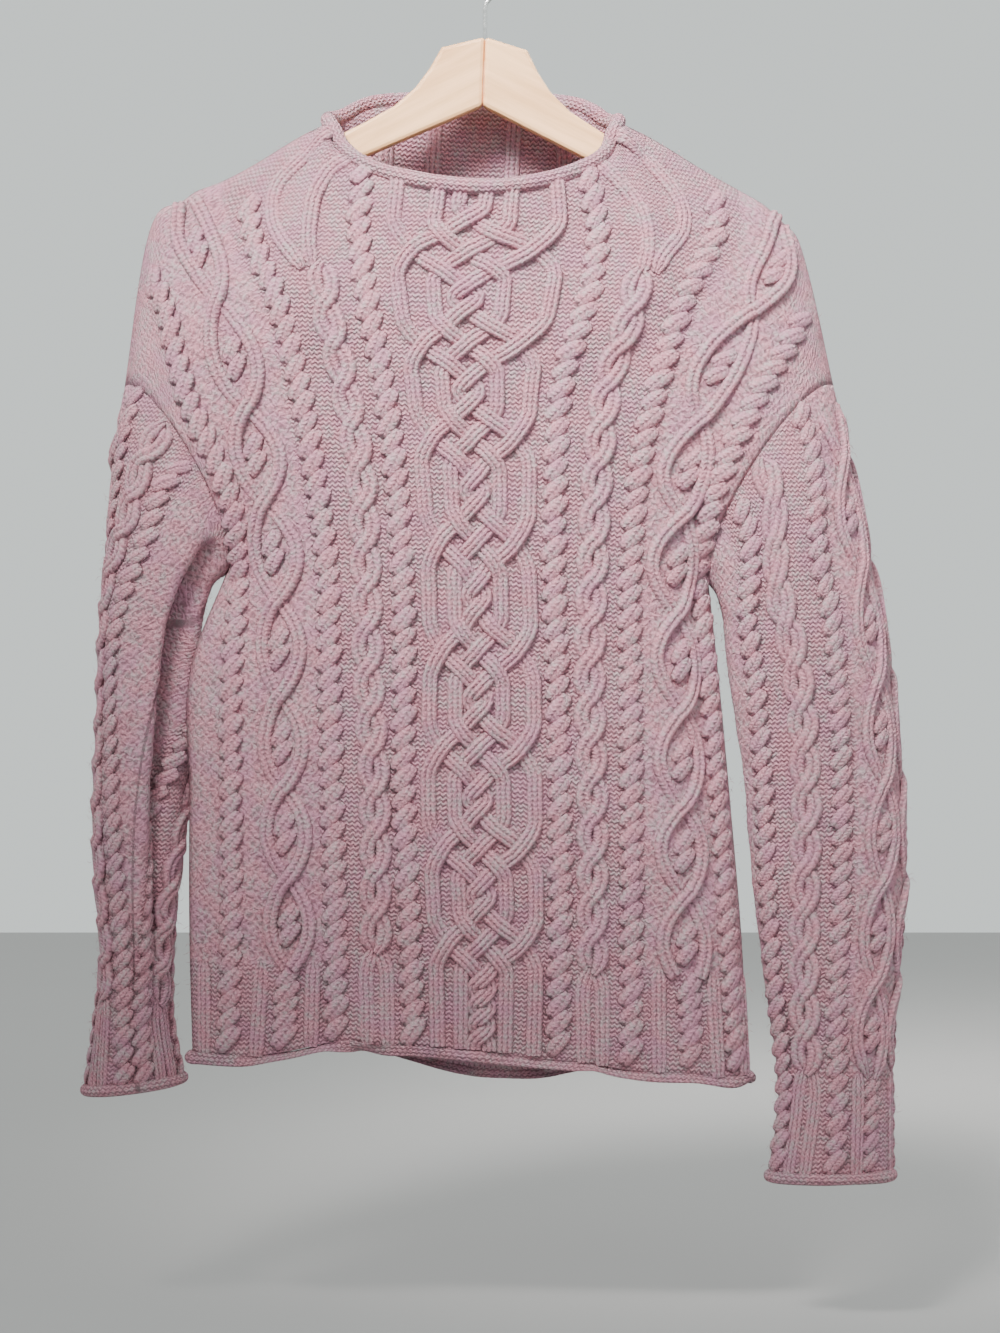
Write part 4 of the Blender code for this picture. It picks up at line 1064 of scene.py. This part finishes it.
sleeveTracks = {
    # columns of the sleeve that each pattern follows down the arm, front then back
    "shares": (0.02, 0.10, 0.18, 0.26, 0.37, 0.515, 0.65, 0.775, 0.87, 1.0),
    "right": {
        "inner": (3.4, 4.0, 4.4, 4.6, 4.5, 4.4, 4.0, 3.6, 3.3, 3.2),
        "chain": (5.1, 6.0, 7.0, 7.4, 7.7, 7.6, 7.1, 6.6, 6.3, 5.7),
        "rope": (8.2, 9.4, 10.1, 10.3, 10.2, 10.0, 9.7, 9.3, 9.1, 9.1),
        "diamond": (12.0, 13.0, 13.4, 13.4, 13.4, 13.4, 12.8, 12.6, 12.4, 12.3),
        "rib": 11.0,
        "inner back": (4.6, 5.2, 5.6, 5.7, 5.6, 5.4, 5.2, 4.8, 4.6, 4.5),
        "chain back": (7.0, 7.8, 8.3, 8.5, 8.4, 8.2, 8.0, 7.8, 7.6, 7.4),
        "rope back": (9.8, 10.7, 11.1, 11.2, 11.2, 11.0, 10.8, 10.6, 10.5, 10.4),
        "diamond back": (13.4, 14.0, 14.2, 14.2, 14.2, 14.2, 14.3, 14.4, 14.4, 14.4),
        "rib back": 12.4,
    },
    "left": {
        "inner": (5.0, 6.6, 7.5, 7.3, 6.4, 3.9, 2.4, 1.7, 1.2, 1.1),
        "chain": (7.0, 9.0, 10.4, 10.4, 9.5, 7.3, 5.9, 5.2, 4.9, 4.7),
        "rope": (11.0, 12.6, 13.4, 13.2, 12.4, 10.4, 9.0, 8.2, 7.9, 7.7),
        "diamond": (14.2, 15.2, 15.7, 15.6, 15.1, 13.7, 12.6, 11.8, 11.4, 11.2),
        "rib": 9.6,
        "inner back": (4.6, 5.2, 5.4, 5.4, 5.2, 4.3, 3.0, 1.9, 1.3, 1.1),
        "chain back": (7.5, 8.2, 8.6, 8.6, 8.4, 7.6, 6.3, 5.0, 4.2, 3.8),
        "rope back": (10.0, 10.4, 10.5, 10.5, 10.4, 10.1, 9.4, 8.4, 7.6, 7.2),
        "diamond back": (12.8, 12.9, 12.9, 12.9, 12.9, 13.0, 13.0, 12.6, 12.2, 12.0),
        "rib back": 9.8,
    },
    "eyes": (0.02, 0.153, 0.293, 0.434, 0.562, 0.690, 0.816),
    "ribTop": 0.868,
    "chainPitch": 27.0,
    "chainSpread": 5.9,
    "ropeSize": 0.88,
    "ropePitch": 12.9,
    "ropeStarts": {"rope": 0.012, "inner": 0.03},
    "ropeEnd": 0.982,
    "lowRopeSize": 0.76,     # under the diamond, through the cuff
    "lowRopePitch": 12.0,
    "lensSize": 0.80,
    "lensPitch": 10.6,
    "diamondSpread": 9.6,
    "chainRibs": ((0.860, 0.45), (0.89, 1.0), (0.94, 1.0), (1.0, 1.0)),  # share, part of their distance
    "chainRibDistance": 0.85,
    "ribShares": (0.868, 0.91, 0.95, 1.0),
    "mossMargin": 0.9,       # columns of purl beside the outermost ropes
}


def trackOf(side, name, back):
    # a pattern's columns against the share of the way down the arm
    columns = np.array(sleeveTracks[side][name + (" back" if back else "")], float)
    return sleeveTracks["shares"], (body["sleeveWales"] - columns if back else columns)


def straightRib(cloth, column):
    return ribLine(cloth, [(column, share) for share in sleeveTracks["ribShares"]], 0.7, 0.9)


def sleevePieces(side):
    cloth, mirror = clothOf[side], (1.0 if side == "right" else -1.0)
    ribTop, end = sleeveTracks["ribTop"], sleeveTracks["ropeEnd"]
    diamonds, chains, ribs, spots = [], [], [], []
    for back in (False, True):
        track = trackOf(side, "diamond", back)
        up = np.linspace(0.02, ribTop + 0.006, 600)
        place = np.interp(up, *track)
        wide = sleeveTracks["diamondSpread"] * unitsPerMm(cloth, place, up)
        lines = twoStrands(cloth, place, up, -mirror * wide, eyePhase(sleeveTracks["eyes"], up))
        diamonds += tapered(lines, 5, 0.4)
        for eye in sleeveTracks["eyes"][1:]:
            spots += lensesInEyes(cloth, np.interp(eye, *track), (eye,),
                                  sleeveTracks["lensSize"], sleeveTracks["lensPitch"])
        low = np.linspace(ribTop + 0.018, end, 200)
        spots.append(ropeSpots(cloth, np.interp(low, *track), low,
                               sleeveTracks["lowRopeSize"], sleeveTracks["lowRopePitch"]))
        chain = trackOf(side, "chain", back)
        chains += chainLines(cloth, chain, 0.006, ribTop, -mirror,
                             sleeveTracks["chainSpread"], sleeveTracks["chainPitch"])
        for name, start in sleeveTracks["ropeStarts"].items():
            fine = np.linspace(start, end, 400)
            spots.append(ropeSpots(cloth, np.interp(fine, *trackOf(side, name, back)), fine,
                                   sleeveTracks["ropeSize"], sleeveTracks["ropePitch"]))
        for sign in (-1, 1):
            path = [(np.interp(share, *chain) + sign * sleeveTracks["chainRibDistance"] * reach, share)
                    for share, reach in sleeveTracks["chainRibs"]]
            ribs.append(ribLine(cloth, path, 0.6, 0.9))
        ribs.append(straightRib(cloth, trackOf(side, "rib", back)[1]))
    ribs.append(straightRib(cloth, body["sleeveWales"] / 2))
    return [strands("sleeve_" + side + "_diamonds", diamonds, sections["sleeveDiamond"]),
            strands("sleeve_" + side + "_chains", chains, sections["chain"]),
            setTwists("sleeve_" + side + "_ropes", spots, ropeTwist),
            strands("sleeve_" + side + "_ribs", ribs, sections["sleeveRib"])]


def panelKinds(side):
    # 0 where the ground is purl, 1 where it is moss stitch
    wales, shares = np.abs(clothOf[side]["across"])[None, :], clothOf[side]["up"][:, None]
    return (easeBetween((wales - pattern["mossWale"]) / 5.0)
            * easeBetween((shares - pattern["mossShare"]) / 0.01))


def sleeveKinds(side):
    cloth = clothOf[side]
    columns = cloth["across"][None, :] + 0 * cloth["up"][:, None]
    shares = cloth["up"][:, None] + 0 * columns
    inner, rope, innerBack, ropeBack = (np.interp(shares, *trackOf(side, name, back))
                                        for back in (False, True) for name in ("inner", "rope"))
    margin = sleeveTracks["mossMargin"]
    outside = np.minimum(columns - rope - margin, ropeBack - margin - columns)
    underArm = np.maximum(inner - margin - columns, columns - innerBack - margin)
    moss = easeBetween(np.maximum(outside, underArm) / 0.4)
    return moss * easeBetween((sleeveTracks["ribTop"] - shares) / 0.01)


print("laying the strands")
sheets = {
    # what each cloth is called, its CAD node and its flat width and length in metres
    "front": {"name": "front", "node": "front_panel", "flat": (0.62, 0.63)},
    "back": {"name": "back", "node": "back_panel", "flat": (0.62, 0.67)},
    "left": {"name": "sleeve_left", "node": "sleeve_left", "flat": (0.35, 0.49)},
    "right": {"name": "sleeve_right", "node": "sleeve_right", "flat": (0.37, 0.54)},
}
plainInside = 0.84  # from here up the panels' inside is purl, for the ribs laid on it
shells, trims = {}, {}
for side, sheet in sheets.items():
    isPanel = side in ("front", "back")
    kinds = panelKinds(side) if isPanel else sleeveKinds(side)
    inside = np.where(kinds > 0.5, 1.0, 2.0)
    if isPanel:
        inside[clothOf[side]["up"] > plainInside] = 0.0
    shells[side] = clothShell(sheet["name"], clothOf[side], kinds, inside)
    trims[side] = panelPieces(side) if isPanel else sleevePieces(side)
    print(sheet["name"], "knitted")

rolls = {
    "neck": 5.4,  # radius of each roll
    "hem": 4.2,
    "cuff": 4.0,
    "neckOut": 0.7,  # how far each roll stands outside its cloth
    "hemOut": 0.6,
    "cuffOut": 0.5,
    "past": 0.62,  # of the radius, how far its middle lies past the cloth's edge
    "unevenness": 0.35,
    "step": 3.0,
}


def rollPath(edge, below, radius, outwards, out, closed):
    # the middle of a rolled edge: past the cloth's own edge and a little outside it
    if closed:
        along = unit(np.roll(edge, -1, axis=0) - np.roll(edge, 1, axis=0))
    else:
        along = unit(np.gradient(edge, axis=0))
    away = edge - below
    away -= along * np.sum(away * along, axis=1)[:, None]
    return edge + unit(away) * radius * rolls["past"] + outwards * out


def evenly(path, spacing, closed):
    # the same line again in equal steps, as a soft curve
    if closed:
        path = np.concatenate([path[-3:], path, path[:4]])
    far = walked(path)
    first, last = (far[3], far[-4]) if closed else (0.0, far[-1])
    at = np.linspace(first, last, int((last - first) / spacing) + 1)
    fine = softCurve(far, path, at)
    return fine[:-1] if closed else fine


def rollPiece(name, path, radius, closed):
    # stitches run round the roll, so the two counts change places
    path = evenly(path, rolls["step"], closed)
    k = np.arange(len(path))
    swell = rolls["unevenness"] * (0.14 * np.sin(k * 0.19 + 1.0) + 0.09 * np.sin(k * 0.47 + 0.4))
    if closed:
        swell = swell * easeBetween(fromEnds(len(path)) / 12.0)
    outwards = path - path.mean(axis=0)
    outwards[:, 2] = 0
    line = {"points": path, "normals": unit(outwards), "fullness": 1.0 + swell, "closed": closed}
    return strands(name, [line], roundSection(name + "Section", radius), 0.0, "sidewards", "stitchWide")


def makeRolls():
    pieces = {}
    near = {side: np.abs(clothOf[side]["across"]) <= body["neckWale"] for side in ("front", "back")}
    parts = []
    for name, row in (("points", -1), ("points", -5), ("normals", -6)):
        front, back = (clothOf[side][name][row, near[side]] for side in ("front", "back"))
        parts.append(np.concatenate([front, back[-2:0:-1]]))
    rim, below, normal = parts
    path = rollPath(rim, below, rolls["neck"], normal, rolls["neckOut"], True)
    for _ in range(3):
        path = (np.roll(path, 1, axis=0) + 2 * path + np.roll(path, -1, axis=0)) / 4
    pieces["neck"] = rollPiece("neck", path[::3], rolls["neck"], True)
    for side, sign in (("front", -1.0), ("back", 1.0)):
        cloth = clothOf[side]
        path = rollPath(cloth["points"][0], cloth["points"][4], rolls["hem"], cloth["normals"][4],
                        rolls["hemOut"], False)
        ends = path[[0, -1]].copy()
        ends[:, 1] = sign * rolls["hemOut"]
        path[[0, -1], 1] = sign * rolls["hem"]
        keep = np.abs(path[:, 1]) > rolls["hem"]
        keep[[0, -1]] = True
        path = np.concatenate([ends[:1], path[keep][::3], path[-1:], ends[1:]])
        pieces["hem_" + side] = rollPiece("hem_" + side, path, rolls["hem"], False)
    for side in ("left", "right"):
        cloth = clothOf[side]
        path = rollPath(cloth["points"][-1], cloth["points"][-5], rolls["cuff"], cloth["normals"][-4],
                        rolls["cuffOut"], True)
        pieces["cuff_" + side] = rollPiece("cuff_" + side, path[::4], rolls["cuff"], True)
    return pieces


rolledEdges = makeRolls()
print("edges rolled")

insideRibs = {"wales": (-60, -38, -18, 15, 36, 58), "shares": (0.80, 0.88, 0.95, 0.994), "ends": 0.5}
lines = [ribLine(clothOf["back"], [(wale, share) for share in insideRibs["shares"]],
                 insideRibs["ends"], insideRibs["ends"], inside=True) for wale in insideRibs["wales"]]
trims["back"].append(strands("back_inside_ribs", lines, sections["insideRib"]))

fuzz = {
    "thickness": 0.27,
    "seed": 11,
    "shortest": 0.45,  # of the hair's own size
    "longest": 1.25,
    "density": {"front": 14000.0, "back": 7000.0, "left": 17000.0, "right": 17000.0},  # hairs per square metre
}


def hairPiece():
    # one bent fibre, three thin sides with pointed ends
    radius = fuzz["thickness"] / 2
    ring = [(2.2, 0.4 + radius * math.cos(a), 2.0 + radius * math.sin(a))
            for a in (0.0, 2 * math.pi / 3, 4 * math.pi / 3)]
    places = [(0.0, 0.0, -0.4), *ring, (5.2, -0.8, 2.9)]
    faces = []
    for k in range(3):
        n = (k + 1) % 3
        faces += [(0, 1 + n, 1 + k), (4, 1 + k, 1 + n)]
    # stitch counts that sit on a knit ridge, so the painted shade between stitches leaves the hairs light
    return newObject("hair", newMesh("hair", places, faces=faces, stitches=[(0.25, 0.3, 2.0)] * len(places)))


def fuzzTree():
    # hairs scattered over the knitting, each turned by chance and of its own length
    add, given, read, finish = nodeTree("scatterHairs", {
        "Hair": "Object", "Density": "Float", "Seed": "Int", "Yarn": "Material"})
    spread = add("GeometryNodeDistributePointsOnFaces", {
        "Mesh": given["Geometry"], "Density": given["Density"], "Seed": given["Seed"]})
    turn = add("FunctionNodeRandomValue", {3: 2 * math.pi, "Seed": given["Seed"]}, data_type="FLOAT")
    about = add("FunctionNodeAxisAngleToRotation", {"Axis": (0.0, 0.0, 1.0), "Angle": turn.outputs[1]})
    both = add("FunctionNodeRotateRotation", {"Rotation": spread.outputs["Rotation"],
                                              "Rotate By": about.outputs[0]}, rotation_space="LOCAL")
    size = add("FunctionNodeRandomValue", {2: fuzz["shortest"], 3: fuzz["longest"]}, data_type="FLOAT")
    part = add("GeometryNodeObjectInfo", {"Object": given["Hair"]})
    return finish(add("GeometryNodeInstanceOnPoints", {
        "Points": spread.outputs["Points"], "Instance": part.outputs["Geometry"],
        "Rotation": both.outputs[0], "Scale": size.outputs[1]}))


def outerMesh(side):
    # the cloth's outer face and everything laid on it, as one mesh to scatter on
    cloth = clothOf[side]
    points = cloth["points"][::2, ::2] * mm
    rows, columns = points.shape[:2]
    grid = np.arange(rows * columns).reshape(rows, columns)
    if cloth["closed"]:
        grid = np.concatenate([grid, grid[:, :1]], axis=1)
    faces = gridFaces(grid)
    if np.dot(np.cross(points[0, 1] - points[0, 0], points[1, 0] - points[0, 0]), cloth["normals"][0, 0]) < 0:
        faces = faces[:, ::-1]
    data = bpy.data.meshes.new("outer_" + side)
    data.from_pydata(points.reshape(-1, 3).tolist(), [], faces.tolist())
    work = bmesh.new()
    work.from_mesh(data)
    for piece in trims[side]:
        if "inside" not in piece.name:
            work.from_mesh(piece.data)
    work.to_mesh(data)
    work.free()
    return data


hair, scatterHairs = hairPiece(), fuzzTree()
for count, (side, sheet) in enumerate(sheets.items()):
    trims[side].append(grown(sheet["name"] + "_fuzz", outerMesh(side), scatterHairs, {
        "Hair": hair, "Density": fuzz["density"][side], "Seed": fuzz["seed"] + count, "Yarn": woolYarn}))
print("fuzz on")


def clothArea(cloth):
    p = cloth["points"] * mm
    if cloth["closed"]:
        p = np.concatenate([p, p[:, :1]], axis=1)
    d1, d2 = p[1:, 1:] - p[:-1, :-1], p[1:, :-1] - p[:-1, 1:]
    return float(np.linalg.norm(np.cross(d1, d2), axis=2).sum() / 2)


rollNodes = {"neck": "neck_roll", "hem_front": "hem_roll_front", "hem_back": "hem_roll_back",
             "cuff_left": "cuff_roll_left", "cuff_right": "cuff_roll_right"}
for piece in [*shells.values(), *sum(trims.values(), []), *rolledEdges.values()]:
    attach(piece, "root")
for name, piece in rolledEdges.items():
    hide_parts(rollNodes[name])
for side, sheet in sheets.items():
    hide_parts(sheet["node"])
    min(clothArea(clothOf[side]), sheet["flat"][0] * sheet["flat"][1])
print("pieces named")

for name, side in (("hanger_left_arm", -1), ("hanger_right_arm", 1)):
    bpy.data.objects[name].material_slots[0].material = woodMaterial("wood_" + name, side)
bpy.data.objects["hanger_hook"].material_slots[0].material = steelMaterial()

studio = {
    "wall": (0.60, 0.64, 0.63),
    "floor": (0.44, 0.43, 0.425),
    "worldStrength": 1.41,
    "keyPower": 4.6,
    "keySpread": 28.0,  # degrees, so the light falls off towards the hem and the left sleeve
    "fillPower": 10.0,
    "rimPower": 10.0,
    "floorDrop": 0.10,
    "floorReach": 3.0,
    "cameraPlace": (0.0102, -2.0, -0.4954),
    "viewHeight": 0.90644,  # metres that the picture's height shows at the sweater
}


def floorMaterial(colour):
    material, shader, place, noise, _, mixed = newMaterial("paleFloor", {"Roughness": 0.8})[:6]
    darker = tuple(0.96 * c for c in colour) + (1.0,)
    fill(shader, {"Base Color": mixed(noise(place, 3.0), darker, colour + (1.0,))})
    return material


drop, reach = cadBox[0][2] - studio["floorDrop"], studio["floorReach"]
floorData = bpy.data.meshes.new("floor")
floorData.from_pydata([(x * reach, y * reach, drop) for x, y in ((-1, -1), (1, -1), (1, 1), (-1, 1))],
                      [], [(0, 1, 2, 3)])
floorData.materials.append(floorMaterial(studio["floor"]))
newObject("floor", floorData)

world = bpy.data.worlds.new("paleRoom")
world.use_nodes = True
fill(world.node_tree.nodes["Background"], {"Color": studio["wall"] + (1.0,), "Strength": studio["worldStrength"]})
bpy.context.scene.world = world


def areaLight(name, place, aim, size, power, colour=(1.0, 1.0, 1.0), spread=180.0):
    data = bpy.data.lights.new(name, "AREA")
    data.shape = "DISK"
    data.size = size
    data.energy = power
    data.color = colour
    data.spread = math.radians(spread)
    lamp = newObject(name, data)
    lamp.location = place
    lamp.rotation_euler = (Vector(aim) - Vector(place)).to_track_quat("-Z", "Y").to_euler()


areaLight("key", (-0.36, -1.0, 0.72), (0.04, 0.0, -0.16), 0.7, studio["keyPower"], (1.0, 0.97, 0.94),
          studio["keySpread"])
areaLight("fill", (0.7, -1.9, 0.35), (0.0, 0.0, -0.2), 1.4, studio["fillPower"], (0.94, 0.97, 1.0))
areaLight("rim", (0.9, 1.5, 0.9), (0.0, 0.0, -0.4), 1.0, studio["rimPower"])

camera = newObject("camera", bpy.data.cameras.new("camera"))
camera.location = studio["cameraPlace"]
camera.rotation_euler = (math.pi / 2, 0.0, 0.0)
camera.data.sensor_fit = "VERTICAL"
camera.data.sensor_height = 36.0
camera.data.lens = camera.data.sensor_height * -studio["cameraPlace"][1] / studio["viewHeight"]
bpy.context.scene.camera = camera

# the pieces that the node trees copied aren't part of the sweater
for piece in [hair, ropeTwist] + [p for p in bpy.data.objects if p.name.endswith("Section")]:
    bpy.data.objects.remove(piece)
